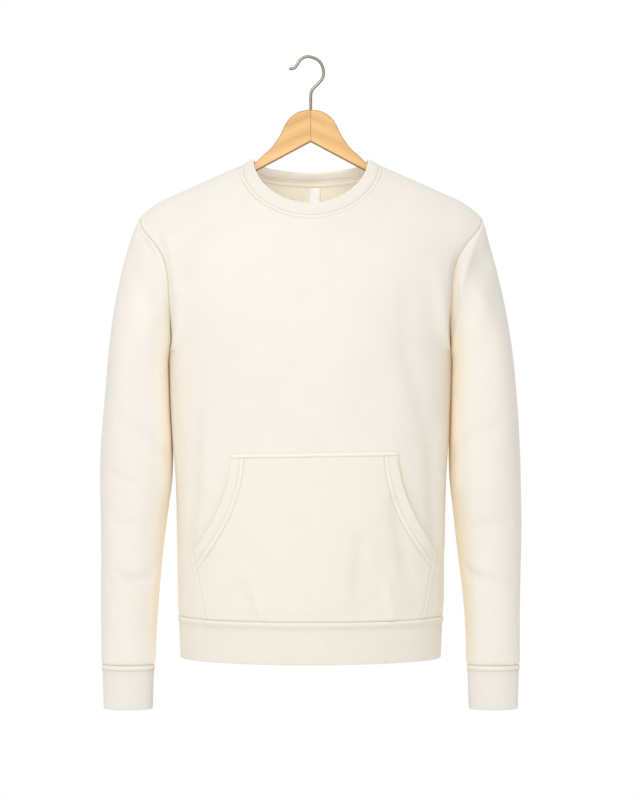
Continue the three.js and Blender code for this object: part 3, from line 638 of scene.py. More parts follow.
@dataclass(frozen=True)
class BodyForm:
    """The body's outer face: its shoulder line, its depth at each place, its neck and its armholes."""

    ridge_top: float = -108.2
    ridge_slope: float = 0.444
    ridge_round_from: float = 205.0
    ridge_round_radius: float = 67.5
    ridge_reach: float = 150.0
    neck_half: float = 96.5
    neck_front_drop: float = 77.8
    neck_back_drop: float = 17.0
    neck_power: float = 1.9

    def ridge(self, x: Any) -> Array:
        """Height of the shoulder ridge at x."""
        beyond = np.maximum(0.0, np.abs(x) - self.ridge_round_from)
        return self.ridge_top - self.ridge_slope * np.abs(x) - beyond**2 / (2 * self.ridge_round_radius)

    @property
    def tip_z(self) -> float:
        """Height of the shoulder tip."""
        return float(self.ridge(TIP_X))

    def depth(self, x: Any, z: Any, side: Side) -> Array:
        """How far the face is from the plane of the side seams.

        Args:
            x: places across.
            z: heights.
            side: front or back.

        Returns:
            The depth at each place.
        """
        full = TORSO.at(z, side.name.lower())
        square = TORSO.at(z, "square")
        share = np.clip(np.abs(x) / TORSO.at(z, "half"), 0.0, 1.0)
        rounded = (1 - share**square) ** (1 / square)
        below = np.clip((self.ridge(x) - z) / self.ridge_reach, 0.0, 1.0)
        return full * rounded * np.sqrt(1 - (1 - below) ** 2)

    def point(self, x: Any, z: Any, side: Side) -> Array:
        """The face's point at each (x, z)."""
        x, z = np.broadcast_arrays(np.asarray(x, float), np.asarray(z, float))
        return np.stack([x, side.value * (SEAM_GAP / 2 + self.depth(x, z, side)), z], axis=-1)

    def normal(self, x: Any, z: Any, side: Side) -> Array:
        """The face's outward direction at each (x, z), measured by small steps across it.

        Args:
            x: places across.
            z: heights.
            side: front or back.

        Returns:
            A unit vector for each place.
        """
        x, z = np.broadcast_arrays(np.asarray(x, float), np.asarray(z, float))
        step = np.where(x > 0, -SMALL_STEP, SMALL_STEP)
        here = self.point(x, z, side)
        across = (self.point(x + step, z, side) - here) * np.sign(step)[..., None]
        down = self.point(x, z - SMALL_STEP, side) - here
        return unit(np.cross(across, down) * side.value)

    def neck_seam(self, angle: Any) -> tuple[Array, Array]:
        """The neck seam seen from the front.

        Args:
            angle: 0 at the wearer's left shoulder, a quarter turn at the front and minus that at the back.

        Returns:
            x and z at each angle.
        """
        power = 2 / self.neck_power
        drop = np.where(np.sin(angle) >= 0, self.neck_front_drop, self.neck_back_drop)
        x = self.neck_half * np.sign(np.cos(angle)) * np.abs(np.cos(angle)) ** power
        z = self.ridge(self.neck_half) - drop * np.abs(np.sin(angle)) ** power
        return x, z


BODY = BodyForm()
ARMHOLE = Table(
    ("x",),
    (
        (-417, 197.5),
        (-383, 196),
        (-339, 197.6),
        (-311, 199.9),
        (-288, 205.5),
        (-263, 221),
        (-248, 234),
        (-238, 240.4),
        (BODY.tip_z, TIP_X),
    ),
)


@dataclass(frozen=True)
class ArmholeForm:
    """The seam loop round an armhole: angle 0 is the shoulder tip, a quarter turn the front."""

    hand: Hand
    centre: tuple[float, float, float] = (190.0, 0.0, -320.0)

    def point(self, angle: Array) -> Array:
        """The loop's point at each angle.

        Args:
            angle: places round the loop.

        Returns:
            The points.
        """
        z = lerp(UNDERARM, BODY.tip_z, (1 + np.cos(angle)) / 2)
        x = ARMHOLE.at(z, "x")
        half_gap = SEAM_GAP / 2 * np.clip(np.abs(np.sin(angle)) * 12, 0, 1)
        front = -(half_gap + BODY.depth(x, z, Side.FRONT))
        back = half_gap + BODY.depth(x, z, Side.BACK)
        y = np.where(np.sin(angle) >= 0, front, back)
        return np.stack([self.hand.value * x, y, z], axis=-1)

    def axes(self, angle: Array) -> tuple[Array, Array]:
        """The seam's two cross directions.

        Args:
            angle: places round the loop.

        Returns:
            The way from the cloth's face into the wall, and the way from the body's cloth to the sleeve's.
        """
        run = unit(self.point(angle + SMALL_TURN) - self.point(angle - SMALL_TURN))
        middle = np.array(self.centre) * [self.hand.value, 1, 1]
        inwards = middle - self.point(angle)
        inwards = unit(inwards - run * np.sum(inwards * run, axis=-1, keepdims=True))
        outwards = np.cross(run, inwards)
        return inwards, outwards * (self.hand.value * np.sign(outwards[..., :1]))


@dataclass(frozen=True)
class SleeveForm:
    """A sleeve's outer face, from its armhole to its cuff. Angle 0 is outermost and a quarter turn the front."""

    hand: Hand

    def tube(self, table: Table, angle: Any, z: Any) -> Array:
        """A point of the sleeve's or cuff's level section.

        Args:
            table: the section's sides at each height.
            angle: places round it.
            z: heights.

        Returns:
            The points.
        """
        angle, z = np.broadcast_arrays(np.asarray(angle, float), np.asarray(z, float))
        inner, outer = table.at(z, "inner"), table.at(z, "outer")
        front, back = table.at(z, "front"), table.at(z, "back")
        power = 2 / table.at(z, "square")
        along = np.sign(np.cos(angle)) * np.abs(np.cos(angle)) ** power
        across = np.sign(np.sin(angle)) * np.abs(np.sin(angle)) ** power
        x = (inner + outer) / 2 + (outer - inner) / 2 * along
        y = (front + back) / 2 + (front - back) / 2 * across
        return np.stack([self.hand.value * x, y, z], axis=-1)

    def start(self, angle: Array) -> Array:
        """The way in which the sleeve leaves the armhole.

        Args:
            angle: places round it.

        Returns:
            A unit vector for each angle.
        """
        top = np.maximum(0, np.cos(angle)) ** 2
        low = np.maximum(0, -np.cos(angle)) ** 2
        middle = np.sin(angle) ** 2
        out = 0.4 * top + 0.5 * middle + 0.3 * low
        forwards = -0.42 * np.sign(np.sin(angle)) * middle
        down = -(0.92 * top + 0.75 * middle + 0.95 * low)
        return unit(np.stack([self.hand.value * out, forwards, down], axis=-1))

    def cap(self, angle: Array, t: Array) -> Array:
        """The sleeve's cap, a smooth cubic from the armhole seam to the first level ring.

        Args:
            angle: places round it.
            t: 0 at the seam and 1 at the ring.

        Returns:
            A grid of points, a row for each t.
        """
        hole = ArmholeForm(self.hand)
        begin = hole.point(angle) + hole.axes(angle)[1] * SEAM_GAP
        end = self.tube(SLEEVE, angle, SLEEVE_RING)
        chord = np.linalg.norm(end - begin, axis=-1, keepdims=True)
        leave = self.start(angle) * chord
        arrive = unit(end - self.tube(SLEEVE, angle, SLEEVE_RING - 10)) * chord
        t = t[:, None, None]
        return (
            begin * (2 * t**3 - 3 * t**2 + 1)
            + leave * (t**3 - 2 * t**2 + t)
            + end * (3 * t**2 - 2 * t**3)
            - arrive * (t**3 - t**2)
        )


@dataclass(frozen=True)
class Fold:
    """A soft trough, or a ridge where depth is above 0, from one place of a piece to another."""

    start: tuple[float, float]
    end: tuple[float, float]
    width: float
    depth: float

    def rise(self, a: Any, b: Any, stretch: float = 1.0) -> Array:
        """How much it raises the cloth.

        Args:
            a: first coordinate of each place.
            b: second coordinate.
            stretch: what the first coordinate is multiplied by.

        Returns:
            The rise at each place.
        """
        run = np.array([(self.end[0] - self.start[0]) * stretch, self.end[1] - self.start[1]])
        da, db = (a - self.start[0]) * stretch, b - self.start[1]
        t = np.clip((da * run[0] + db * run[1]) / run.dot(run), 0, 1)
        return self.depth * bump(np.hypot(da - run[0] * t, db - run[1] * t), self.width)


@dataclass(frozen=True)
class Wave:
    """A long, shallow unevenness of hanging cloth."""

    across: float
    along: float
    phase: float
    height: float

    def rise(self, a: Any, b: Any) -> Array:
        """How much it raises the cloth at each place."""
        return self.height * np.sin(2 * np.pi * (a / self.across + b / self.along) + self.phase)


FRONT_FOLDS = (
    Fold((-153, -510), (-159, -593), 9, -2.0),
    Fold((-161, -609), (-170, -695), 9, -2.4),
    Fold((-140, -520), (-148, -600), 14, 1.2),
    Fold((132, -345), (129, -394), 14, -1.5),
    Fold((132, -417), (163, -536), 13, -2.8),
    Fold((166, -554), (172, -700), 9, -2.2),
    Fold((183, -520), (184, -690), 8, 1.6),
    Fold((-198, -262), (-186, -335), 9, 2.2),
    Fold((-183, -420), (-178, -560), 13, 1.0),
    Fold((176, -300), (188, -400), 10, 1.4),
    Fold((-150, -250), (-178, -300), 17, -1.2),
)
POCKET_FOLDS = (
    Fold((114, -625), (122.5, -682), 10, -3.2),
    Fold((125.5, -698), (137, -768), 9, -3.4),
    Fold((67, -680), (64, -776), 10, -2.6),
    Fold((-92, -742), (-80, -784), 8, -2.4),
    Fold((-76, -752), (-66, -783), 6, 2.0),
    Fold((82, -760), (78, -786), 6, -1.4),
    Fold((104, -742), (112, -784), 7, 2.4),
)
BACK_FOLDS = (
    Fold((-120, -330), (-96, -470), 19, -2.6),
    Fold((112, -345), (90, -450), 17, -2.2),
    Fold((150, -520), (166, -700), 15, -2.6),
    Fold((-152, -560), (-160, -720), 14, -2.2),
    Fold((-70, -690), (-82, -782), 15, -2.8),
    Fold((48, -715), (40, -782), 14, -2.2),
    Fold((118, -725), (126, -782), 12, -2.0),
    Fold((-178, -300), (-186, -380), 12, 1.4),
    Fold((180, -320), (188, -400), 12, 1.2),
)
SLEEVE_FOLDS = (
    Fold((30, -270), (92, -345), 13, -2.6),
    Fold((150, -560), (80, -520), 12, -2.4),
    Fold((60, -655), (120, -662), 9, -1.6),
    Fold((50, -742), (135, -732), 8, -1.8),
    Fold((250, -520), (320, -600), 12, -2.2),
    Fold((230, -700), (300, -715), 9, -1.8),
    Fold((215, -840), (330, -826), 8, -1.4),
)
SLEEVE_FACE_FOLDS = {
    Hand.LEFT: (
        Fold((236, -296), (208, -356), 20, -4.6),
        Fold((200, -388), (200, -420), 12, -2.4),
        Fold((239, -240), (210, -326), 5, 2.0),
        Fold((203, -490), (207, -610), 6, 2.0),
        Fold((214, -720), (238, -733), 6, -1.8),
        Fold((262, -330), (236, -420), 16, -1.6),
    ),
    Hand.RIGHT: (
        Fold((-237, -247), (-222, -279), 8, -3.0),
        Fold((-218, -294), (-214, -345), 11, -1.8),
        Fold((-277, -588), (-248, -600), 6, -2.0),
        Fold((-272, -727), (-243, -738), 6, -2.0),
        Fold((-262, -742), (-238, -751), 5, -1.6),
    ),
}
BODY_WAVES = (Wave(310, 520, 0.6, 0.55), Wave(-190, 340, 2.1, 0.4), Wave(120, -260, 4.0, 0.25))
SLEEVE_WAVES = (Wave(140, 310, 1.2, 0.45), Wave(-95, 170, 3.3, 0.3))


# ---- Cloth as meshes


def nearest(line: Array, points: Array) -> Array:
    """The distance from each point to the nearest sample of a line, by KD tree.

    Args:
        line: the samples.
        points: places to measure from.

    Returns:
        A distance for each place.
    """
    tree = KDTree(len(line))
    for i, point in enumerate(line):
        tree.insert(point, i)
    tree.balance()
    flat = points.reshape(-1, 3)
    return np.array([tree.find(p)[2] for p in flat]).reshape(points.shape[:-1])


def dense(points: Array, step: float = 0.5) -> Array:
    """A line sampled again at a small, even step.

    Args:
        points: the line.
        step: the new step.

    Returns:
        The new points.
    """
    run = np.concatenate([[0.0], np.cumsum(np.linalg.norm(np.diff(points, axis=0), axis=1))])
    places = np.linspace(0, run[-1], max(2, round(run[-1] / step)))
    return np.stack([np.interp(places, run, points[:, i]) for i in range(points.shape[1])], axis=-1)


def grid_normals(points: Array, wraps: bool) -> Array:
    """The cross direction of a grid at each of its points, unsigned.

    Args:
        points: the grid.
        wraps: whether its last column meets its first.

    Returns:
        A unit vector for each point.
    """
    if wraps:
        round_it = np.roll(points, -1, axis=1) - np.roll(points, 1, axis=1)
    else:
        round_it = np.gradient(points, axis=1)
    return unit(np.cross(round_it, np.gradient(points, axis=0)))


def run_length(points: Array, axis: int) -> Array:
    """Distance run along a grid's rows or columns, 0 at the first.

    Args:
        points: the grid.
        axis: 0 to run down its rows and 1 to run along its columns.

    Returns:
        The distance at each point.
    """
    steps = np.linalg.norm(np.diff(points, axis=axis), axis=-1)
    shape = list(steps.shape)
    shape[axis] = 1
    return np.cumsum(np.concatenate([np.zeros(shape), steps], axis=axis), axis=axis)


def armhole_tuck(hand: Hand, z: Array) -> Array:
    """How far the armhole seam is drawn in at each height.

    Args:
        hand: which armhole.
        z: heights.

    Returns:
        The depth, in millimetres.
    """
    most = 5.0 if hand is Hand.LEFT else 1.8
    return most * smooth(-z, 250, 310) * smooth(z, UNDERARM, UNDERARM + 40)


@dataclass
class ClothWall:
    """A closed wall of cloth between two grids of points that face each other."""

    outer: Array
    inner: Array
    wraps: bool
    shades: dict[str, Any]

    def to_object(self, name: str, finish: Material) -> Object:
        """Makes the mesh, with a UV map in metres and an attribute for each shade.

        Args:
            name: the object's name.
            finish: its material.

        Returns:
            The object, at the origin, faces outwards.
        """
        rows, columns = self.outer.shape[:2]
        layer_size = rows * columns
        last = columns if self.wraps else columns - 1
        ahead = np.concatenate([self.outer, self.outer[:, :1]], axis=1) if self.wraps else self.outer
        across = run_length(ahead, 1)
        across = across - across[:, across.shape[1] // 2][:, None]
        along = run_length(ahead, 0)

        end = rows - 1
        r, c = np.meshgrid(np.arange(end), np.arange(last), indexing="ij")
        sides = [
            self._quads((0, 0, 0, 0), (r, r, r + 1, r + 1), (c, c + 1, c + 1, c)),
            self._quads((1, 1, 1, 1), (r, r + 1, r + 1, r), (c, c, c + 1, c + 1)),
        ]
        r, c = np.arange(end), np.arange(last)
        rim = (0, 0, 1, 1)
        sides.append(self._quads(rim, (0, 0, 0, 0), (c + 1, c, c, c + 1)))
        sides.append(self._quads(rim, (end, end, end, end), (c, c + 1, c + 1, c)))
        if not self.wraps:
            sides.append(self._quads(rim, (r, r + 1, r + 1, r), (0, 0, 0, 0)))
            sides.append(self._quads(rim, (r + 1, r, r, r + 1), (last, last, last, last)))
        faces = np.concatenate(sides)
        ids = faces[..., 0] * layer_size + faces[..., 1] * columns + faces[..., 2] % columns
        places = np.concatenate([self.outer.reshape(-1, 3), self.inner.reshape(-1, 3)])
        if signed_volume(places, ids) < 0:
            faces, ids = faces[:, ::-1], ids[:, ::-1]
        uv = np.stack([across[faces[..., 1], faces[..., 2]], along[faces[..., 1], faces[..., 2]]], axis=-1)
        face = {key: np.broadcast_to(shade, (rows, columns)).ravel() for key, shade in self.shades.items()}
        # The inside layer gets painted warm light.
        inside = np.full(layer_size, INSIDE_PAINTED_WARMTH)
        shades = {key: np.concatenate([shade, inside * (key == "warm")]) for key, shade in face.items()}
        return mesh_object(name, places, ids, finish, uv, shades)

    @staticmethod
    def _quads(layers: Sequence[Any], rows: Sequence[Any], columns: Sequence[Any]) -> Array:
        """Lists quads whose four corners are given in turn.

        Args:
            layers: each corner's layer, 0 outside and 1 inside.
            rows: each corner's rows.
            columns: each corner's columns.

        Returns:
            A layer, row and column for each corner of each quad.
        """
        corners = [np.stack(np.broadcast_arrays(*place), axis=-1) for place in zip(layers, rows, columns)]
        return np.stack([corner.reshape(-1, 3) for corner in corners], axis=1)


def put(name: str, data: ID) -> Object:
    """Makes an object of a mesh, lamp or camera and adds it to the scene.

    Args:
        name: the object's name.
        data: what it shows.

    Returns:
        The object, at the origin.
    """
    made = bpy.data.objects.new(name, data)
    bpy.context.scene.collection.objects.link(made)
    return made


def signed_volume(places: Array, quads: Array) -> float:
    """The volume that a closed set of quads holds, below 0 where it is inside out."""
    a, b, c, d = (places[quads[:, k]] for k in range(4))
    return float(np.sum(a * np.cross(b, c)) + np.sum(a * np.cross(c, d)))


def mesh_object(
    name: str,
    places: Array,
    faces: Any,
    finish: Material,
    uv: Array | None = None,
    attributes: dict[str, Array] | None = None,
) -> Object:
    """Makes a smooth-shaded object from points in millimetres.

    Args:
        name: the object's name.
        places: its points.
        faces: each face's point numbers.
        finish: its material.
        uv: a pair for each face corner, in millimetres.
        attributes: a value for each point, by name.

    Returns:
        The object, at the origin.
    """
    mesh = bpy.data.meshes.new(name)
    listed = faces.tolist() if isinstance(faces, Array) else faces
    mesh.from_pydata((places * MM).tolist(), [], listed)
    if uv is not None:
        layer = mesh.uv_layers.new(name="cloth")
        layer.data.foreach_set("uv", (uv * MM).astype(np.float32).ravel())
    for key, values in (attributes or {}).items():
        attribute = mesh.attributes.new(key, "FLOAT", "POINT")
        attribute.data.foreach_set("value", values.astype(np.float32).ravel())
    mesh.materials.append(finish)
    mesh.shade_smooth()
    mesh.update()
    return put(name, mesh)


def seam_profile(distance: Array, depth: float = 0.6, lip: float = 0.45) -> Array:
    """How cloth rolls down into a seam and stands up a little beside it."""
    return -depth * bump(distance, 1.3) + lip * bump(distance - 3.8, 2.2)


@dataclass
class Dressed:
    """What every piece has once it is made: its object and the facts that go with it."""

    thing: Object
    slot: Slot
    nodes: tuple[str, ...] = ()
    flat: tuple[float, float] | None = None
    area: float | None = None
    held: str = "hung"
    rests_on: tuple[str, ...] = ()

    def place(self) -> None:
        """Puts the piece on the frame and hides the imported parts that it stands for."""
        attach(self.thing, "root")
        if self.nodes:
            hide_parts(*self.nodes)
        LOG.info("%s: %d faces", self.thing.name, len(self.thing.data.polygons))


@dataclass
class BodyPanel:
    """The front or the back: one curved panel from the hem seam to the shoulders and neck."""

    side: Side
    folds: tuple[Fold, ...]
    flat: tuple[float, float]
    area: float
    waves: tuple[Wave, ...] = BODY_WAVES
    column_step: float = 2.9
    row_step: float = 2.9
    fine_step: float = 1.0
    fine_reach: float = 7.0
    neck_line: float = 5.2  # from the neck seam to the line sewn below it
    half_girth: float = 262.0
    neck_share: float = 16 / 26  # of the panel's columns, those that end on the neck
    hollow: float = 0.13  # the bottom of a fold gets less light and its crest more
    flank_glow: float = 1.4  # the flank is lighter where a sleeve throws its light on it
    flank_warmth: float = 0.06  # and a little warmer
    flank_light: tuple[float, float] = (0.17, 0.06)  # light through the cloth beside the left and right sleeve
    armhole_shade: float = 0.05  # on the left, where the seam is drawn in

    def height(self, x: Array, z: Array) -> Array:
        """How far folds and waves raise the cloth at each (x, z), away from its edges.

        Args:
            x: places across.
            z: heights.

        Returns:
            The rise at each place.
        """
        waves = sum(wave.rise(x + 40 * self.side.value, z) for wave in self.waves)
        folds = sum(fold.rise(x, z) for fold in self.folds)
        gathers = 0.45 * np.sin(x / 2.9 + 1.8 * np.sin(x / 23)) * np.exp(-(z - HEM_SEAM) / 11)
        low = smooth(z, HEM_SEAM, HEM_SEAM + 16)
        return (waves + folds) * low + gathers * smooth(z, HEM_SEAM, HEM_SEAM + 4)

    def surface(self, x: Array, z: Array, lift: Any = 0.0) -> Array:
        """The panel's face at each (x, z), moved out by lift."""
        rise = self.height(x, z) * smooth(BODY.ridge(x) - z, 4, 45) + lift
        return BODY.point(x, z, self.side) + BODY.normal(x, z, self.side) * np.asarray(rise)[..., None]

    def line_off(self, z: Array) -> Array:
        """The distance from the neck seam to the line sewn beside it, which narrows towards the shoulders."""
        return self.neck_line * (0.45 + 0.55 * smooth(np.abs(z - BODY.ridge(BODY.neck_half)), 2, 14))

    def _columns(self) -> tuple[Array, Array, Array]:
        """Each column's place round the section, and the x and z where it meets the panel's top edge.

        Returns:
            The places, x and z of all columns.
        """
        places = graded(2 * self.half_girth, self.column_step, self.fine_step, self.fine_reach, self.fine_reach)
        u = 2 * places - 1
        for corner in (-self.neck_share, self.neck_share):
            u[np.argmin(np.abs(u - corner))] = corner
        front = -self.side.value * math.pi
        angle = front * (1 - (u / self.neck_share + 1) / 2)
        neck_x, neck_z = BODY.neck_seam(angle)
        out = np.clip((np.abs(u) - self.neck_share) / (1 - self.neck_share), 0, 1)
        shoulder_x = lerp(BODY.neck_half, TIP_X, out) * np.sign(u)
        on_neck = np.abs(u) < self.neck_share - 1e-9
        top_x = np.where(on_neck, neck_x, shoulder_x)
        top_z = np.where(on_neck, neck_z, BODY.ridge(shoulder_x))
        return np.sin(u * np.pi / 2), top_x, top_z

    def _rows(self) -> tuple[Array, Array, Array, Array]:
        """Each row's height, half width, share of the armhole passed, and how far it follows the top edge.

        Returns:
            The four values of all rows.
        """
        torso = graded(UNDERARM - HEM_SEAM, self.row_step, self.fine_step, self.fine_reach, 0.5)
        low_z = lerp(HEM_SEAM, UNDERARM, torso)[:-1]
        hole = graded(205.0, self.row_step, 0.9, 0.5, 10.0)
        rise = 0.45 * hole + 0.55 * (1 - np.cos(np.pi * hole)) / 2
        high_z = lerp(UNDERARM, BODY.tip_z, rise)
        z = np.concatenate([low_z, high_z])
        half = np.concatenate([TORSO.at(low_z, "half"), ARMHOLE.at(high_z, "x")])
        passed = np.concatenate([np.zeros_like(low_z), rise])
        return z, half, passed, passed**2

    def _edge_normals(self, row_z: Array, passed: Array, hand: Hand) -> Array:
        """The outward way of the cloth at the side edge of each row.

        Args:
            row_z: each row's height.
            passed: how much of the armhole each row has passed.
            hand: which edge.

        Returns:
            A unit vector for each row.
        """
        angle = -self.side.value * np.arccos(np.clip(2 * passed - 1, -1, 1))
        out = -ArmholeForm(hand).axes(angle)[0]
        plain = np.array([hand.value, 0.0, 0.0])
        share = smooth(row_z, UNDERARM, UNDERARM + 6)[:, None]
        return unit(lerp(plain, out, share))

    def build(self, finish: Material) -> Object:
        """Makes the panel.

        Args:
            finish: its material.

        Returns:
            The object.
        """
        low, top_x, top_z = self._columns()
        row_z, half, passed, turn = self._rows()
        x = half[:, None] * lerp(low[None], top_x[None] / TIP_X, turn[:, None])
        z = row_z[:, None] + (top_z[None] - BODY.tip_z) * turn[:, None]
        base = BODY.point(x, z, self.side)
        normals = BODY.normal(x, z, self.side)

        left, right = run_length(base, 1), run_length(base[:, ::-1], 1)[:, ::-1]
        from_top = run_length(base[::-1], 0)[::-1]
        normals = self._turn_edges(normals, base, row_z, passed, left, right, from_top)

        side_distance = np.minimum(left, right)
        neck_x, neck_z = BODY.neck_seam(-self.side.value * np.linspace(0, np.pi, 300))
        neck = BODY.point(neck_x, neck_z, self.side)
        neck_distance = nearest(dense(neck), base)
        shoulder = np.abs(top_x) > BODY.neck_half + 0.01
        top_distance = np.where(shoulder[None], np.minimum(from_top, neck_distance), neck_distance)
        line = self.line_off(z)

        soft = self.height(x, z) * smooth(side_distance, 0, 14) * smooth(np.minimum(from_top, top_distance), 0, 26)
        rise = soft + seam_profile(side_distance) + seam_profile(top_distance, 1.0, 0.0)
        rise = rise + 0.3 * bump(neck_distance - 0.5 * line, 1.6) - 0.55 * bump(neck_distance - line, 0.9)
        rise = rise + seam_profile(z - HEM_SEAM, 0.4, 0.3)
        tucked = self.tuck(x, z, side_distance)
        soft, rise = soft + tucked, rise + tucked
        outer = base + normals * rise[..., None]
        inner = base + normals * np.minimum(soft - WALL, rise - SEWN_WALL)[..., None]
        # Painted shade along the seams and sewn lines, and on the left where the armhole is drawn in.
        seam = np.maximum.reduce(
            [
                0.3 * bump(side_distance, 1.0),
                0.22 * bump(top_distance, 0.9),
                0.35 * bump(z - HEM_SEAM, 0.8),
                0.28 * bump(neck_distance - line, 0.8),
                self.armhole_shade * (x > 0) * armhole_tuck(Hand.LEFT, z) * bump(side_distance, 4.0),
            ]
        )
        # Painted warm light on the flank beside each sleeve, and stronger towards the hem as if bounced from below.
        warm = self.flank_warmth * smooth(-side_distance, -22, -3) * smooth(-z, -UNDERARM - 140, -UNDERARM - 40)
        warm = warm + 0.1 * smooth(-z, 450, 780)
        # Painted highlights on the lips by the neck line and sides, painted light on the flank, painted fold shade.
        ridge = 0.6 * bump(neck_distance - 0.5 * line, 1.5) + 0.5 * bump(side_distance - 4, 2) * smooth(z, -470, -400)
        ridge = ridge + self.flank_glow * smooth(-side_distance, -26, -3) * smooth(-z, 420, 520) + self.hollow * soft
        if self.side is Side.FRONT:
            warm = warm + self.painted_mouth_shadow(x, z)
        # Painted glow of light through the cloth beside each sleeve.
        through = np.where(x > 0, *self.flank_light) * smooth(-side_distance, -12, -1) * smooth(-z, 320, 450)
        shades = {"seam": seam, "warm": warm, "ridge": ridge, "through": through}
        return ClothWall(outer, inner, False, shades).to_object(self.side.name.lower() + "_panel", finish)

    @staticmethod
    def tuck(x: Array, z: Array, distance: Array) -> Array:
        """How the cloth goes in at the armhole and swells beside it and below.

        Args:
            x: places across.
            z: heights.
            distance: how far each place is from the panel's side.

        Returns:
            The rise at each place.
        """
        deep = np.where(x > 0, armhole_tuck(Hand.LEFT, z), armhole_tuck(Hand.RIGHT, z))
        swell = smooth(-z, 300, 380) * smooth(z, -640, -520)
        return -deep * bump(distance, 7.0) + 3.2 * swell * bump(distance - 24, 13.0)

    @staticmethod
    def painted_mouth_shadow(x: Array, z: Array) -> Array:
        """Where the front gets a painted warm shadow beside the pocket's open mouth.

        Args:
            x: places across.
            z: heights.

        Returns:
            The share of the warm tone at each place.
        """
        pocket = Pocket(None)
        beyond = x - pocket.centre - pocket.half(z)
        return 0.55 * bump(beyond - 2.0, 5.0) * smooth(-z, -pocket.top_z, -pocket.top_z + 40) * (z > -705)

    def _turn_edges(
        self, normals: Array, base: Array, row_z: Array, passed: Array, left: Array, right: Array, from_top: Array
    ) -> Array:
        """Turns the normals near the panel's edges to the way in which the next panel meets it there.

        Args:
            normals: the face's own normals.
            base: the face's points.
            row_z: each row's height.
            passed: how much of the armhole each row has passed.
            left: distance from the first column.
            right: distance from the last column.
            from_top: distance from the top row.

        Returns:
            The turned normals.
        """
        for hand, distance in ((Hand.RIGHT, left), (Hand.LEFT, right)):
            edge = self._edge_normals(row_z, passed, hand)[:, None]
            share = bump(distance, 3.5)[..., None]
            normals = unit(lerp(normals, edge, share))
        slope = np.sign(base[..., :1]) * BODY.ridge_slope
        ridge = unit(np.concatenate([slope, np.zeros_like(slope), np.ones_like(slope)], axis=-1))
        on_shoulder = np.abs(base[-1, :, 0]) > BODY.neck_half - 0.01
        share = (bump(from_top, 3.0) * on_shoulder[None])[..., None]
        inner_part = ((left > 0.01) & (right > 0.01))[..., None]
        normals = np.where(inner_part, unit(lerp(normals, ridge, share)), normals)
        level = unit(normals * [1, 1, 0])
        return unit(lerp(normals, level, bump(base[..., 2:] - HEM_SEAM, 3.0)))

    def neck_stitches(self) -> list[Array]:
        """The line sewn just outside the neck seam.

        Returns:
            The line's points, in a list of one.
        """
        angle = -self.side.value * np.linspace(0.16, math.pi - 0.16, 260)
        x, z = BODY.neck_seam(angle)
        run = np.gradient(np.stack([x, z], axis=-1), axis=0)
        away = unit(np.stack([-run[:, 1], run[:, 0]], axis=-1))
        centre = np.array([0.0, float(BODY.ridge(BODY.neck_half)) + 30])
        away *= np.sign(np.sum(away * (np.stack([x, z], axis=-1) - centre), axis=-1, keepdims=True))
        line = self.line_off(z)
        return [self.surface(x + away[:, 0] * line, z + away[:, 1] * line, -0.45)]


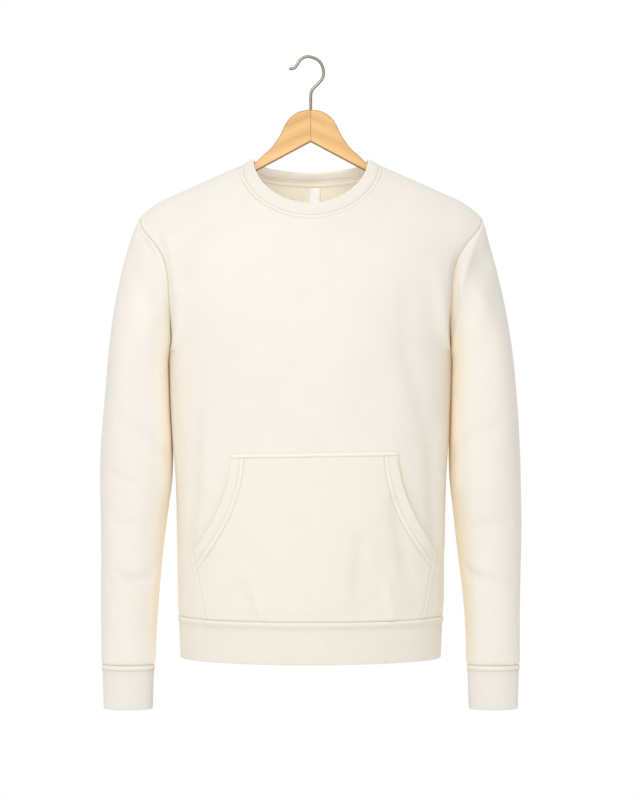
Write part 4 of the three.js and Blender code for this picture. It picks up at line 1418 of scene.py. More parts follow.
@dataclass
class Sleeve:
    """A set-in sleeve from its armhole seam to the cuff seam."""

    hand: Hand
    flat: tuple[float, float] = (0.38, 0.60)
    area: float = 0.18
    folds: tuple[Fold, ...] = SLEEVE_FOLDS
    around: int = 132
    stretch: float = 0.9  # millimetres of cloth in a degree round the sleeve, for its folds
    slim: float = 4.2  # how much the left sleeve falls in below its cap
    swell: float = 3.2  # how much it fills out towards the body lower down
    hollow: float = 0.13  # the bottom of a fold gets less light and its crest more
    painted_crevice_warmth: float = 0.3  # painted warm bounce light on the side that faces the body

    @property
    def crevice_light(self) -> tuple[float, float, float]:
        """Facing the body: painted glow through the cloth, painted golden shade, painted light (shade below 0)."""
        return (0.16, 0.2, -0.5) if self.hand is Hand.LEFT else (0.07, 0.05, 1.6)

    def build(self, finish: Material) -> Object:
        """Makes the sleeve.

        Args:
            finish: its material.

        Returns:
            The object.
        """
        form = SleeveForm(self.hand)
        angle = np.linspace(-np.pi, np.pi, self.around, endpoint=False)
        t = graded(200.0, 3.0, 1.0, 7.0, 0.5)
        z = lerp(SLEEVE_RING, CUFF_SEAM, graded(SLEEVE_RING - CUFF_SEAM, 3.2, 1.0, 0.5, 7.0)[1:])
        base = np.concatenate([form.cap(angle, t), form.tube(SLEEVE, angle[None], z[:, None])])
        normals = grid_normals(base, True)
        middle = base.mean(axis=1, keepdims=True)
        if np.sum(normals * (base - middle)) < 0:
            normals = -normals
        from_seam = run_length(base, 0)
        inwards = ArmholeForm(self.hand).axes(angle)[0]
        normals = unit(lerp(normals, -inwards[None], bump(from_seam, 3.5)[..., None]))
        from_cuff = run_length(base[::-1], 0)[::-1]
        level = unit(normals * [1, 1, 0])
        normals = unit(lerp(normals, level, bump(from_cuff, 3.0)[..., None]))

        degrees = np.degrees(angle) % 360
        folds = sum(fold.rise(degrees[None], base[..., 2], self.stretch) for fold in self.folds)
        lean = 25 * self.hand.value
        round_it = 55 * np.sin(angle)[None] + lean
        waves = sum(wave.rise(round_it, base[..., 2]) for wave in SLEEVE_WAVES)
        gathers = 0.4 * np.sin(angle * 27 + 2 * np.sin(angle * 5))[None] * np.exp(-from_cuff / 10)
        inner_seam = 38.0 * np.minimum(np.abs(angle + np.pi), np.abs(np.pi - angle))[None]
        ahead = smooth(-normals[..., 1], 0.1, 0.6)
        folds = folds + ahead * sum(f.rise(base[..., 0], base[..., 2]) for f in SLEEVE_FACE_FOLDS[self.hand])
        fade = smooth(from_seam, 0, 10) * smooth(from_cuff, 0, 14)
        swell = smooth(-base[..., 2], 330, 400) * smooth(base[..., 2], -640, -520)
        slim = self.slim * bump(base[..., 2] + 315, 75) * smooth(np.cos(angle)[None], 0.3, 0.95)
        slim = slim * smooth(from_seam, 3, 40)
        round_corner = bump(np.degrees(angle)[None] - 138, 24.0)
        soft = (folds + waves) * fade + self.swell * swell * round_corner - slim * (self.hand is Hand.LEFT)
        tucked = armhole_tuck(self.hand, base[:1, :, 2]) * bump(from_seam, 8.0)
        soft = soft - tucked
        rise = soft + gathers * smooth(from_cuff, 0, 4)
        rise = rise + seam_profile(from_seam) + seam_profile(from_cuff, 0.9, 0.5)
        rise = rise - 0.5 * bump(inner_seam, 1.3) * smooth(from_seam, 0, 8)
        outer = base + normals * rise[..., None]
        inner = base + normals * np.minimum(soft - WALL, rise - SEWN_WALL)[..., None]
        # Painted shade along the seams, golden shade in the crevice by the body and where the armhole is drawn in;
        sewn = 0.5 * bump(inner_seam, 1.0) + 0 * from_seam
        # painted highlights on the seam lip and fold crests, painted shade in fold bottoms.
        facing = -normals[..., 0] * self.hand.value
        warm = self.painted_crevice_warmth * smooth(facing, 0.55, 0.98) * smooth(-base[..., 2], 260, 340)
        seam = np.maximum.reduce([0.3 * bump(from_seam, 1.0), 0.35 * bump(from_cuff, 0.8), sewn])
        lit, golden, lightness = self.crevice_light
        crevice = smooth(facing, 0.45, 0.95) * smooth(-base[..., 2], 330, 430)
        ridge = 0.7 * bump(from_seam - 4, 2.2) + lightness * crevice + self.hollow * soft
        through = lit * smooth(facing, 0.6, 0.98) * smooth(-base[..., 2], 270, 340)
        seam = np.maximum(seam, golden * smooth(facing, 0.5, 0.98) * smooth(-base[..., 2], 260, 320))
        seam = np.maximum(seam, 0.09 * tucked)
        shades = {"seam": seam, "warm": warm, "ridge": ridge, "through": through}
        return ClothWall(outer, inner, True, shades).to_object("sleeve_cloth_" + self.hand.word, finish)


@dataclass
class RibBand:
    """A folded rib band below a seam: a soft welt under the seam, a plain wall and a rounded lower edge."""

    name: str
    top: float
    bottom: float
    section: Callable[[Array, Any], Array]
    around: int
    flat: tuple[float, float]
    welt: float = 1.7  # how far it stands out under its seam
    line: float | None = None  # distance below the seam of a sewn line
    foot: tuple[float, float] | None = None  # centre and half width of a pocket whose foot it is sewn to
    foot_rise: float = 1.9  # how far it stands out more under that foot
    corner: float = 1.4  # radius of the folded lower edge
    warmth: float = 0.0  # painted warm light on its face, as low on the front

    def _profile(self) -> tuple[Array, Array]:
        """How far each point of the profile stands out, and its height, down the outside and up the inside.

        Returns:
            The two values of all points.
        """
        height = self.top - SEAM_GAP / 2 - self.bottom
        down = height * graded(height, 2.6, 0.7, 11.0, 0.5)
        rise = -0.3 * bump(down, 0.7) + self.welt * self._roll(down)
        if self.line:
            rise = rise - 0.6 * bump(down - self.line, 0.8)
        turn = np.linspace(0, np.pi / 2, 6)[1:]
        edge_rise = -self.corner * (1 - np.cos(turn))
        edge_down = height - self.corner * (1 - np.sin(turn))
        plain = down < height - self.corner - 0.2
        inside = np.linspace(height - self.corner, 0, 18)
        rise = np.concatenate([rise[plain], edge_rise, -edge_rise[::-1] - RIB_WALL, np.full(18, -RIB_WALL)])
        down = np.concatenate([down[plain], edge_down, edge_down[::-1], inside])
        return rise, self.top - SEAM_GAP / 2 - down

    @staticmethod
    def _roll(down: Any) -> Any:
        """The share of the welt's height at a distance below the seam."""
        return smooth(down, 0.1, 3.0) * (1 - smooth(down, 4.0, 12.0))

    def ring(self, rise: float, z: float) -> Array:
        """The band's level line at a height, standing out by rise.

        Args:
            rise: how far it stands out.
            z: its height.

        Returns:
            The points of the ring.
        """
        turn = np.arange(self.around) / self.around
        points = self.section(turn, z)
        run = np.roll(points, -1, axis=0) - np.roll(points, 1, axis=0)
        out = unit(np.stack([run[:, 1], -run[:, 0], np.zeros(self.around)], axis=-1))
        if np.sum(out * (points - points.mean(axis=0))) < 0:
            out = -out
        near_seam = math.exp(-abs(self.top - z) / 14) * float(smooth(self.top - z, 0.5, 5.0))
        gathers = 0.3 * near_seam * np.sin(turn * 2 * np.pi * round(self.around / 4.3) + 3 * np.sin(turn * 31.4))
        sway = 0.35 * np.sin(turn * 2 * np.pi * 5 + 0.7) * (1 - near_seam)
        if self.foot and rise > 0.1 - RIB_WALL:
            under = smooth(self.foot[1] - np.abs(points[:, 0] - self.foot[0]), -2, 5) * (points[:, 1] < 0)
            rise = rise + self.foot_rise * under * (1 - smooth(self.top - z, 4, 16))
        return points + out * (rise + gathers + sway)[:, None]

    def build(self, finish: Material) -> Object:
        """Makes the band.

        Args:
            finish: its material.

        Returns:
            The object.
        """
        rise, z = self._profile()
        rings = np.stack([self.ring(float(r), float(h)) for r, h in zip(rise, z)])
        # Painted shade along the seam and sewn line, a painted highlight on the welt, painted shade below it,
        shade = 0.45 * bump(z - self.top, 0.8)
        # and painted warm light inside.
        if self.line:
            shade = np.maximum(shade, 0.45 * bump(z - self.top + self.line, 0.8) * (rise > -0.9))
        outside = rise > -RIB_WALL + 0.1
        down = self.top - z
        lip = bump(down - 2.6, 1.5) - 0.5 * bump(down - 9.5, 4.0)
        warm = np.where(outside, self.warmth, INSIDE_PAINTED_WARMTH)
        shades = {"seam": shade * outside, "warm": warm, "ridge": lip * outside}
        return closed_rings(self.name, rings, shades, finish)

    def stitches(self) -> list[Array]:
        """The sewn line round the band, if it has one.

        Returns:
            The closed line, in a list of one, or an empty list.
        """
        if not self.line:
            return []
        ring = self.ring(self.welt * float(self._roll(self.line)) - 0.45, self.top - self.line)
        return [np.concatenate([ring, ring[:1]])]


def closed_rings(name: str, rings: Array, shades: dict[str, Array], finish: Material) -> Object:
    """Makes a ring-shaped piece whose last ring joins its first.

    Args:
        name: the object's name.
        rings: rings of points in order round the profile.
        shades: a value for each ring, by attribute name.
        finish: its material.

    Returns:
        The object.
    """
    count, around = rings.shape[:2]
    ahead = np.concatenate([rings, rings[:, :1]], axis=1)
    across = run_length(ahead, 1)
    across = np.repeat(across.mean(axis=0, keepdims=True), count + 1, axis=0)
    along = run_length(np.concatenate([ahead, ahead[:1]]), 0)
    k, i = np.meshgrid(np.arange(count), np.arange(around), indexing="ij")
    ks = np.stack([k, k, k + 1, k + 1], axis=-1).reshape(-1, 4)
    ids = np.stack([i, i + 1, i + 1, i], axis=-1).reshape(-1, 4)
    faces = (ks % count) * around + ids % around
    places = rings.reshape(-1, 3)
    if signed_volume(places, faces) < 0:
        faces, ks, ids = faces[:, ::-1], ks[:, ::-1], ids[:, ::-1]
    uv = np.stack([across[ks, ids], along[ks, ids]], axis=-1)
    return mesh_object(name, places, faces, finish, uv, {k: np.repeat(v, around) for k, v in shades.items()})


def hem_section(turn: Array, z: Any) -> Array:
    """The body's section at a height, from the wearer's right round the front and back again.

    Args:
        turn: places round it, from 0 to 1.
        z: the height.

    Returns:
        The points.
    """
    front = turn < 0.5
    u = np.where(front, -1 + 4 * turn, 3 - 4 * turn)
    x = TORSO.at(z, "half") * np.sin(u * np.pi / 2)
    y = np.where(front, -BODY.depth(x, z, Side.FRONT), BODY.depth(x, z, Side.BACK))
    return np.stack([x, y, np.full_like(x, z)], axis=-1)


@dataclass
class NeckRib:
    """The collar: a folded rib that stands round the neck."""

    top_half: float = 81.0
    side_rise: float = 8.5
    front_z: float = -211.0
    front_y: float = -76.0
    back_z: float = -157.2
    back_y: float = 44.0
    around: int = 288
    flat: tuple[float, float] = (0.50, 0.024)

    def edge(self, angle: Array) -> Array:
        """The rib's folded edge at the same angles as the neck seam.

        Args:
            angle: places round the neck.

        Returns:
            The points.
        """
        front = np.sin(angle) >= 0
        power = 2 / BODY.neck_power
        across = np.abs(np.sin(angle)) ** power
        x = self.top_half * np.sign(np.cos(angle)) * np.abs(np.cos(angle)) ** power
        y = np.abs(np.sin(angle)) ** 0.9 * np.where(front, self.front_y, self.back_y)
        side_z = BODY.ridge(BODY.neck_half) + self.side_rise
        z = lerp(side_z, np.where(front, self.front_z, self.back_z), across)
        return np.stack([x, y, z], axis=-1)

    @staticmethod
    def _profile() -> tuple[Array, Array]:
        """Each point's share of the way from the seam to the fold, and how deep it is under the outer face.

        Returns:
            The two values of all points.
        """
        along = np.array([0, 0.03, 0.07, 0.12, 0.2, 0.3, 0.42, 0.54, 0.66, 0.76, 0.84, 0.9, 0.945, 0.975, 0.993])
        deep = np.array([0.9, 0.45, 0.0, -0.35, -0.55, -0.6, -0.6, -0.55, -0.45, -0.3, -0.1, 0.1, 0.4, 0.75, 1.15])
        inside_along = np.array([1.0, 0.993, 0.975, 0.945, 0.88, 0.78, 0.6, 0.45, 0.3, 0.15, 0.0])
        inside_deep = np.array([1.5, 1.85, 2.25, 2.55, 2.8, 2.95, 3.0, 3.0, 2.8, 2.5, 2.3])
        return np.concatenate([along, inside_along]), np.concatenate([deep, inside_deep])

    def build(self, finish: Material) -> Object:
        """Makes the collar.

        Args:
            finish: its material.

        Returns:
            The object.
        """
        angle = 2 * np.pi * np.arange(self.around) / self.around
        x, z = BODY.neck_seam(angle)
        front = np.sin(angle) >= 0
        seam = np.where(front[:, None], BODY.point(x, z, Side.FRONT), BODY.point(x, z, Side.BACK))
        cloth = np.where(front[:, None], BODY.normal(x, z, Side.FRONT), BODY.normal(x, z, Side.BACK))
        for _ in range(6):
            cloth = unit(cloth + np.roll(cloth, 1, axis=0) + np.roll(cloth, -1, axis=0))
        top = self.edge(angle)
        up = top - seam
        run = self.edge(angle + SMALL_TURN) - self.edge(angle - SMALL_TURN)
        edge = unit(np.cross(run, up))
        edge *= np.sign(np.sum(edge * cloth, axis=-1, keepdims=True))
        start = seam + unit(up) * SEAM_GAP / 2
        along, deep = self._profile()
        rings = []
        for share, depth in zip(along, deep):
            normal = unit(lerp(cloth, edge, min(1.0, 2 * share)))
            rings.append(lerp(start, top, share) - normal * depth)
        outside = np.arange(len(along)) < 15
        # Painted shade at the seam, warm light inside, a highlight along the fold and over the face, shade near the
        # seam.
        shades = {
            "seam": 0.22 * bump(along, 0.04) * outside,
            "warm": 0.18 * ~outside,
            "ridge": (0.6 + 1.8 * bump(along - 0.955, 0.05) - 0.6 * bump(along - 0.14, 0.1)) * outside,
        }
        return closed_rings("collar_rib", np.stack(rings), shades, finish)


@dataclass
class Pocket:
    """The kangaroo pocket: sewn along its top, foot and lower sides, open along two curved mouths."""

    front: "BodyPanel | None"
    centre: float = 5.0
    top_z: float = -558.0
    corner_z: float = -699.5
    top_half: float = 114.3
    corner_half: float = 169.9
    bottom_half: float = 153.3
    tilt: float = 0.016
    pouch: float = 5.0
    gape: float = 3.0  # how far the wearer's left mouth hangs open
    hem_rise: float = 0.9
    # Painted warm light over the pocket, as low on the front.
    warmth: float = 0.07
    hollow: float = 0.13  # the bottom of a crease gets less light and its crest more
    mouth_lines: tuple[float, float] = (13.0, 19.0)
    top_line: float = 5.4
    side_line: float = 4.6
    fine_reach: float = 25.0
    flat: tuple[float, float] = (0.40, 0.24)
    area: float = 0.08

    def half(self, z: Array) -> Array:
        """The pocket's half width, which grows along the mouths and narrows below them.

        Args:
            z: heights.

        Returns:
            The half width at each height.
        """
        down = (self.top_z - z) / (self.top_z - self.corner_z)
        mouth = lerp(self.top_half, self.corner_half, down**2)
        low = (self.corner_z - z) / (self.corner_z - HEM_SEAM)
        return np.where(z > self.corner_z, mouth, lerp(self.corner_half, self.bottom_half, low))

    def place(self, across: Array, level: Array) -> tuple[Array, Array]:
        """The garment's x and z at a place of the pocket."""
        share = (level - HEM_SEAM) / (self.top_z - HEM_SEAM)
        return self.centre + across, level + self.tilt * across * share

    def lift(self, across: Array, level: Array) -> Array:
        """How far the pocket's inner face stands off the front.

        Args:
            across: places across, from the pocket's middle.
            level: heights on the untilted pocket.

        Returns:
            The distance at each place.
        """
        up = (level - HEM_SEAM) / (self.top_z - HEM_SEAM)
        sewn = lerp(1.0, 0.45, smooth(level, self.corner_z - 6, self.corner_z + 10))
        share = np.abs(across) / self.half(level)
        slack = self.pouch * np.sin(np.pi * np.clip(up, 0, 1)) * (1 - sewn * np.clip(share, 0, 1) ** 3)
        x, z = self.place(across, level)
        slack = slack + sum(fold.rise(x, z) for fold in POCKET_FOLDS)
        gape = self.half(level) - across
        slack = slack + self.gape * bump(gape, 12.0) * bump(level + 640, 48.0)
        return SEWN_LIFT + 0.5 * (slack + np.sqrt(slack**2 + 0.1))

    def _mouth(self, hand: Hand, inset: float = 0.0) -> Array:
        """A mouth's edge in (across, level), or a line inset from it, run on past the corner.

        Args:
            hand: which mouth.
            inset: how far inside the edge the line lies.

        Returns:
            Pairs of across and level.
        """
        level = np.linspace(self.top_z, self.corner_z, 160)
        edge = np.stack([self.half(level), level], axis=-1)
        way = unit(edge[-1] - edge[-2])
        past = edge[-1] + way * np.linspace(0.5, 34, 60)[:, None]
        edge = np.concatenate([edge, past])
        run = unit(np.gradient(edge, axis=0))
        away = np.stack([run[:, 1], -run[:, 0]], axis=-1)
        away *= np.sign(-away[:1, :1])
        return (edge + away * inset) * [hand.value, 1]

    def build(self, finish: Material) -> Object:
        """Makes the pocket.

        Args:
            finish: its material.

        Returns:
            The object.
        """
        low = graded(self.corner_z - HEM_SEAM, 2.6, 1.0, 5.0, 2.0)
        high = graded(self.top_z - self.corner_z, 2.4, 0.9, 2.0, 9.0)
        level = np.concatenate([lerp(HEM_SEAM, self.corner_z, low)[:-1], lerp(self.corner_z, self.top_z, high)])
        half = self.half(level)[:, None]
        edge = np.concatenate([[0, 0.5, 1.1], np.arange(2, self.fine_reach, 1.05)])
        inner_share = np.linspace(-1, 1, 84)[1:-1]
        plain = half - self.fine_reach
        across = np.concatenate([-half + edge, plain * inner_share, (half - edge)[:, ::-1]], axis=1)
        levels = np.repeat(level[:, None], across.shape[1], axis=1)
        x, z = self.place(across, levels)

        spots = np.stack([across, levels, np.zeros_like(across)], axis=-1)
        mouth = np.minimum(*[nearest(self._flat_line(self._mouth(hand)), spots) for hand in Hand])
        in_mouth = smooth(levels, self.corner_z - 34, self.corner_z - 20)
        mouth = lerp(FAR, mouth, in_mouth)
        side = lerp(FAR, half - np.abs(across), levels < self.corner_z + 1.0)
        side = np.broadcast_to(side, across.shape)
        top = self.top_z - levels
        near = np.minimum.reduce([np.where(levels > self.corner_z - 1, mouth, FAR), side, top + 0 * side])

        hem = smooth(-np.abs(mouth - 6.5), -8.5, -5.0) * (levels > self.corner_z - 30)
        under = smooth(top, self.top_line - 0.4, self.top_line + 0.6)
        rise = self.hem_rise * hem * under
        for line in self.mouth_lines:
            rise = rise - 0.7 * bump(mouth - line, 1.0) * under
        rise = rise + 0.6 * bump(mouth - 16.0, 1.8) * under
        rise = rise - 0.8 * bump(top - self.top_line, 1.0) + 0.5 * bump(top - 2.8, 1.5)
        rise = rise - 0.6 * bump(side - self.side_line, 1.0) + 0.4 * bump(side - 2.4, 1.2)
        sewn_down = np.minimum(side, top + 0 * side)
        rise = rise - bump(near, 0.9) - 0.9 * bump(sewn_down, 1.3)
        rise = rise + seam_profile(levels - HEM_SEAM, 0.6, 0.4)
        lift = self.lift(across, levels)
        inner = self.front.surface(x, z, lift)
        outer = self.front.surface(x, z, lift + WALL + rise)
        # Painted shade in the stitch grooves and at the hem seam, painted highlights on lips and edges, painted
        # crease shade.
        grooves = [bump(mouth - line, 0.8) * under for line in self.mouth_lines]
        grooves += [bump(top - self.top_line, 0.8), 0.7 * bump(side - self.side_line, 0.8)]
        seam = np.maximum.reduce([0.36 * g for g in grooves] + [0.45 * bump(levels - HEM_SEAM, 0.9)])
        creases = self.hollow * sum(fold.rise(x, z) for fold in POCKET_FOLDS)
        lip_highlights = 0.9 * bump(top - 2.8, 1.8) + 0.8 * bump(mouth - 16.0, 1.6) * under + 0.8 * bump(side - 2.4, 1.4)
        shades = {"seam": seam, "warm": self.warmth, "ridge": creases + lip_highlights + 1.5 * bump(near, 1.5)}
        return ClothWall(outer, inner, False, shades).to_object("pocket_panel", finish)

    @staticmethod
    def _flat_line(line: Array) -> Array:
        """A flat line sampled closely, as points whose third coordinate is 0."""
        close = dense(line, 0.4)
        return np.concatenate([close, np.zeros((len(close), 1))], axis=1)

    def _on_cloth(self, line: Array, sunk: float) -> Array:
        """A line of (across, level) places laid on the pocket's outer face.

        Args:
            line: pairs of across and level.
            sunk: how deep the line lies in the cloth.

        Returns:
            The points.
        """
        across, level = line[:, 0], line[:, 1]
        x, z = self.place(across, level)
        return self.front.surface(x, z, self.lift(across, level) + WALL - sunk)

    def stitches(self) -> list[Array]:
        """The sewn lines: two along each mouth, one along the top and one down each lower side.

        Returns:
            The points of each line.
        """
        lines = []
        for hand in Hand:
            for inset in self.mouth_lines:
                line = self._mouth(hand, inset)
                across, level = line.T
                sewn = (np.abs(across) < self.half(level) - 1.5) & (level < self.top_z - self.top_line)
                lines.append(self._on_cloth(line[sewn], 0.45))
            level = np.linspace(self.corner_z - 3, HEM_SEAM + 2, 60)
            down = np.stack([hand.value * (self.half(level) - self.side_line), level], axis=-1)
            lines.append(self._on_cloth(down, 0.4))
        across = np.linspace(-self.top_half + 1.5, self.top_half - 1.5, 120)
        top = np.stack([across, np.full_like(across, self.top_z - self.top_line)], axis=-1)
        lines.append(self._on_cloth(top, 0.55))
        return lines


@dataclass
class NeckTape:
    """The tape that covers the back neck seam from inside."""

    back: BodyPanel
    below: float = 1.2
    width: float = 6.6
    wall: float = 1.0
    half_angle: float = 1.2
    flat: tuple[float, float] = (0.19, 0.010)

    def inside(self, x: Array, z: Array, away: float) -> Array:
        """A point of the back's inner face at each (x, z), moved in by away."""
        return BODY.point(x, z, Side.BACK) - BODY.normal(x, z, Side.BACK) * (WALL + away)

    def build(self, finish: Material) -> Object:
        """Makes the tape, a thin wall whose long edges are a little rounded.

        Args:
            finish: its material.

        Returns:
            The object.
        """
        angle = -np.pi / 2 + np.linspace(-self.half_angle, self.half_angle, 150)
        x, z = BODY.neck_seam(angle)
        share = np.array([0, 0.04, 0.1, 0.16, 0.3, 0.5, 0.7, 0.84, 0.9, 0.96, 1.0])
        levels = z[None] - self.below - self.width * share[:, None]
        across = np.repeat(x[None], len(share), axis=0)
        swell = 0.25 * np.sin(np.pi * share)[:, None] - 0.3 * bump(np.minimum(share, 1 - share) - 0.12, 0.05)[:, None]
        far = self.inside(across, levels, LAID_GAP)
        face = far + unit(self.inside(across, levels, 5.0) - far) * (self.wall + swell)[..., None]
        # Painted shade in the grooves of the two sewn lines.
        line = 0.45 * bump(np.minimum(share, 1 - share) - 0.12, 0.05)
        seam = np.repeat(line[:, None], len(angle), axis=1)
        return ClothWall(face, far, False, {"seam": seam}).to_object("neck_twill_tape", finish)

    def stitches(self) -> list[Array]:
        """The two sewn lines along the tape.

        Returns:
            The points of each line.
        """
        angle = -np.pi / 2 + np.linspace(-self.half_angle + 0.02, self.half_angle - 0.02, 120)
        x, z = BODY.neck_seam(angle)
        share = (0.12, 0.88)
        return [self.inside(x, z - self.below - self.width * s, LAID_GAP + self.wall) for s in share]


@dataclass
class NeckLabel:
    """A blank label sewn in below the tape."""

    tape: NeckTape
    x: float = 5.2
    width: float = 18.0
    height: float = 45.0
    wall: float = 1.0
    gap: float = 0.4
    top_off: float = 0.5
    foot_off: float = 3.5
    flat: tuple[float, float] = (0.018, 0.045)

    def build(self, finish: Material) -> Object:
        """Makes the label, which bows a little and has pressed edges.

        Args:
            finish: its material.

        Returns:
            The object.
        """
        top = float(BODY.neck_seam(np.array(-np.pi / 2))[1]) - self.tape.below - self.tape.width - self.gap
        share = graded(self.height, 1.5, 0.4, 1.2, 1.2)
        place = graded(self.width, 1.2, 0.4, 1.6, 1.6) - 0.5
        x = np.repeat(self.x + self.width * place[None], len(share), axis=0)
        z = np.repeat(top - self.height * share[:, None], len(place), axis=1)
        away = LAID_GAP + lerp(self.top_off, self.foot_off, share)[:, None] + 0.5 * np.cos(np.pi * place)[None]
        far = np.stack([self.tape.inside(x[:, k], z[:, k], 0.0) for k in range(len(place))], axis=1)
        way = unit(self.tape.inside(x, z, 5.0) - far)
        edge = np.repeat(np.minimum(share, 1 - share)[:, None] * self.height, len(place), axis=1)
        side = self.width * (0.5 - np.abs(place))[None]
        thin = 0.35 * bump(np.minimum(edge, side), 0.6)
        back_face = far + way * away[..., None]
        face = back_face + way * (self.wall - thin)[..., None]
        seam = 0.5 * bump(side - 1.3, 0.35) + 0 * edge
        return ClothWall(face, back_face, False, {"seam": seam}).to_object("neck_satin_label", finish)


@dataclass(frozen=True)
class StitchMaker:
    """Sews a row of short thread stitches along lines, by Geometry Nodes."""

    pitch: float = 3.3
    length: float = 2.5
    thread: float = 0.42
    sides: int = 6
    rings: int = 4

    def _tree(self, finish: Material) -> NodeTree:
        """Makes the tree that puts a stitch at each step along the lines.

        Args:
            finish: the thread's material.

        Returns:
            The tree.
        """
        tree = bpy.data.node_groups.new("stitch_row", "GeometryNodeTree")
        face = tree.interface
        face.new_socket("Lines", in_out="INPUT", socket_type="NodeSocketGeometry")
        for name in ("Pitch", "Length", "Thread"):
            face.new_socket(name, in_out="INPUT", socket_type="NodeSocketFloat")
        face.new_socket("Stitches", in_out="OUTPUT", socket_type="NodeSocketGeometry")
        given = add_node(tree, "NodeGroupInput")
        path = add_node(tree, "GeometryNodeMeshToCurve", inputs={"Mesh": given.outputs["Lines"]})
        steps = add_node(
            tree, "GeometryNodeResampleCurve", settings={"mode": "LENGTH"},
            inputs={"Curve": path.outputs[0], "Length": given.outputs["Pitch"]},
        )
        ball = add_node(
            tree, "GeometryNodeMeshUVSphere", inputs={"Segments": self.sides, "Rings": self.rings, "Radius": 0.5}
        )
        size = add_node(
            tree, "ShaderNodeCombineXYZ",
            inputs={"X": given.outputs["Thread"], "Y": given.outputs["Thread"], "Z": given.outputs["Length"]},
        )
        stitch = add_node(
            tree, "GeometryNodeTransform", inputs={"Geometry": ball.outputs["Mesh"], "Scale": size.outputs[0]}
        )
        way = add_node(tree, "GeometryNodeInputTangent")
        turn = add_node(
            tree, "FunctionNodeAlignRotationToVector", settings={"axis": "Z"}, inputs={"Vector": way.outputs[0]}
        )
        row = add_node(
            tree, "GeometryNodeInstanceOnPoints",
            inputs={"Points": steps.outputs[0], "Instance": stitch.outputs[0], "Rotation": turn.outputs[0]},
        )
        real = add_node(tree, "GeometryNodeRealizeInstances", inputs={"Geometry": row.outputs[0]})
        dressed = add_node(tree, "GeometryNodeSetMaterial", inputs={"Geometry": real.outputs[0], "Material": finish})
        add_node(tree, "NodeGroupOutput", inputs={0: dressed.outputs[0]})
        return tree

    def sew(self, name: str, lines: Sequence[Array], finish: Material) -> Object:
        """Sews along each line.

        Args:
            name: the piece's name.
            lines: points of each line, in millimetres.
            finish: the thread's material.

        Returns:
            One plain mesh of all the stitches.
        """
        points: list[Sequence[float]] = []
        edges: list[tuple[int, int]] = []
        for line in lines:
            first = len(points)
            points.extend((line * MM).tolist())
            edges.extend((first + i, first + i + 1) for i in range(len(line) - 1))
        mesh = bpy.data.meshes.new(name + "_lines")
        mesh.from_pydata(points, edges, [])
        source = put(mesh.name, mesh)
        tree = self._tree(finish)
        maker = source.modifiers.new("stitches", "NODES")
        maker.node_group = tree
        sizes = {"Pitch": self.pitch, "Length": self.length, "Thread": self.thread}
        for item in tree.interface.items_tree:
            if item.in_out == "INPUT" and item.name in sizes:
                maker[item.identifier] = sizes[item.name] * MM
        bpy.context.view_layer.update()
        result = source.evaluated_get(bpy.context.evaluated_depsgraph_get())
        plain = bpy.data.meshes.new_from_object(result)
        plain.name = name
        plain.shade_smooth()
        bpy.data.objects.remove(source, do_unlink=True)
        return put(name, plain)


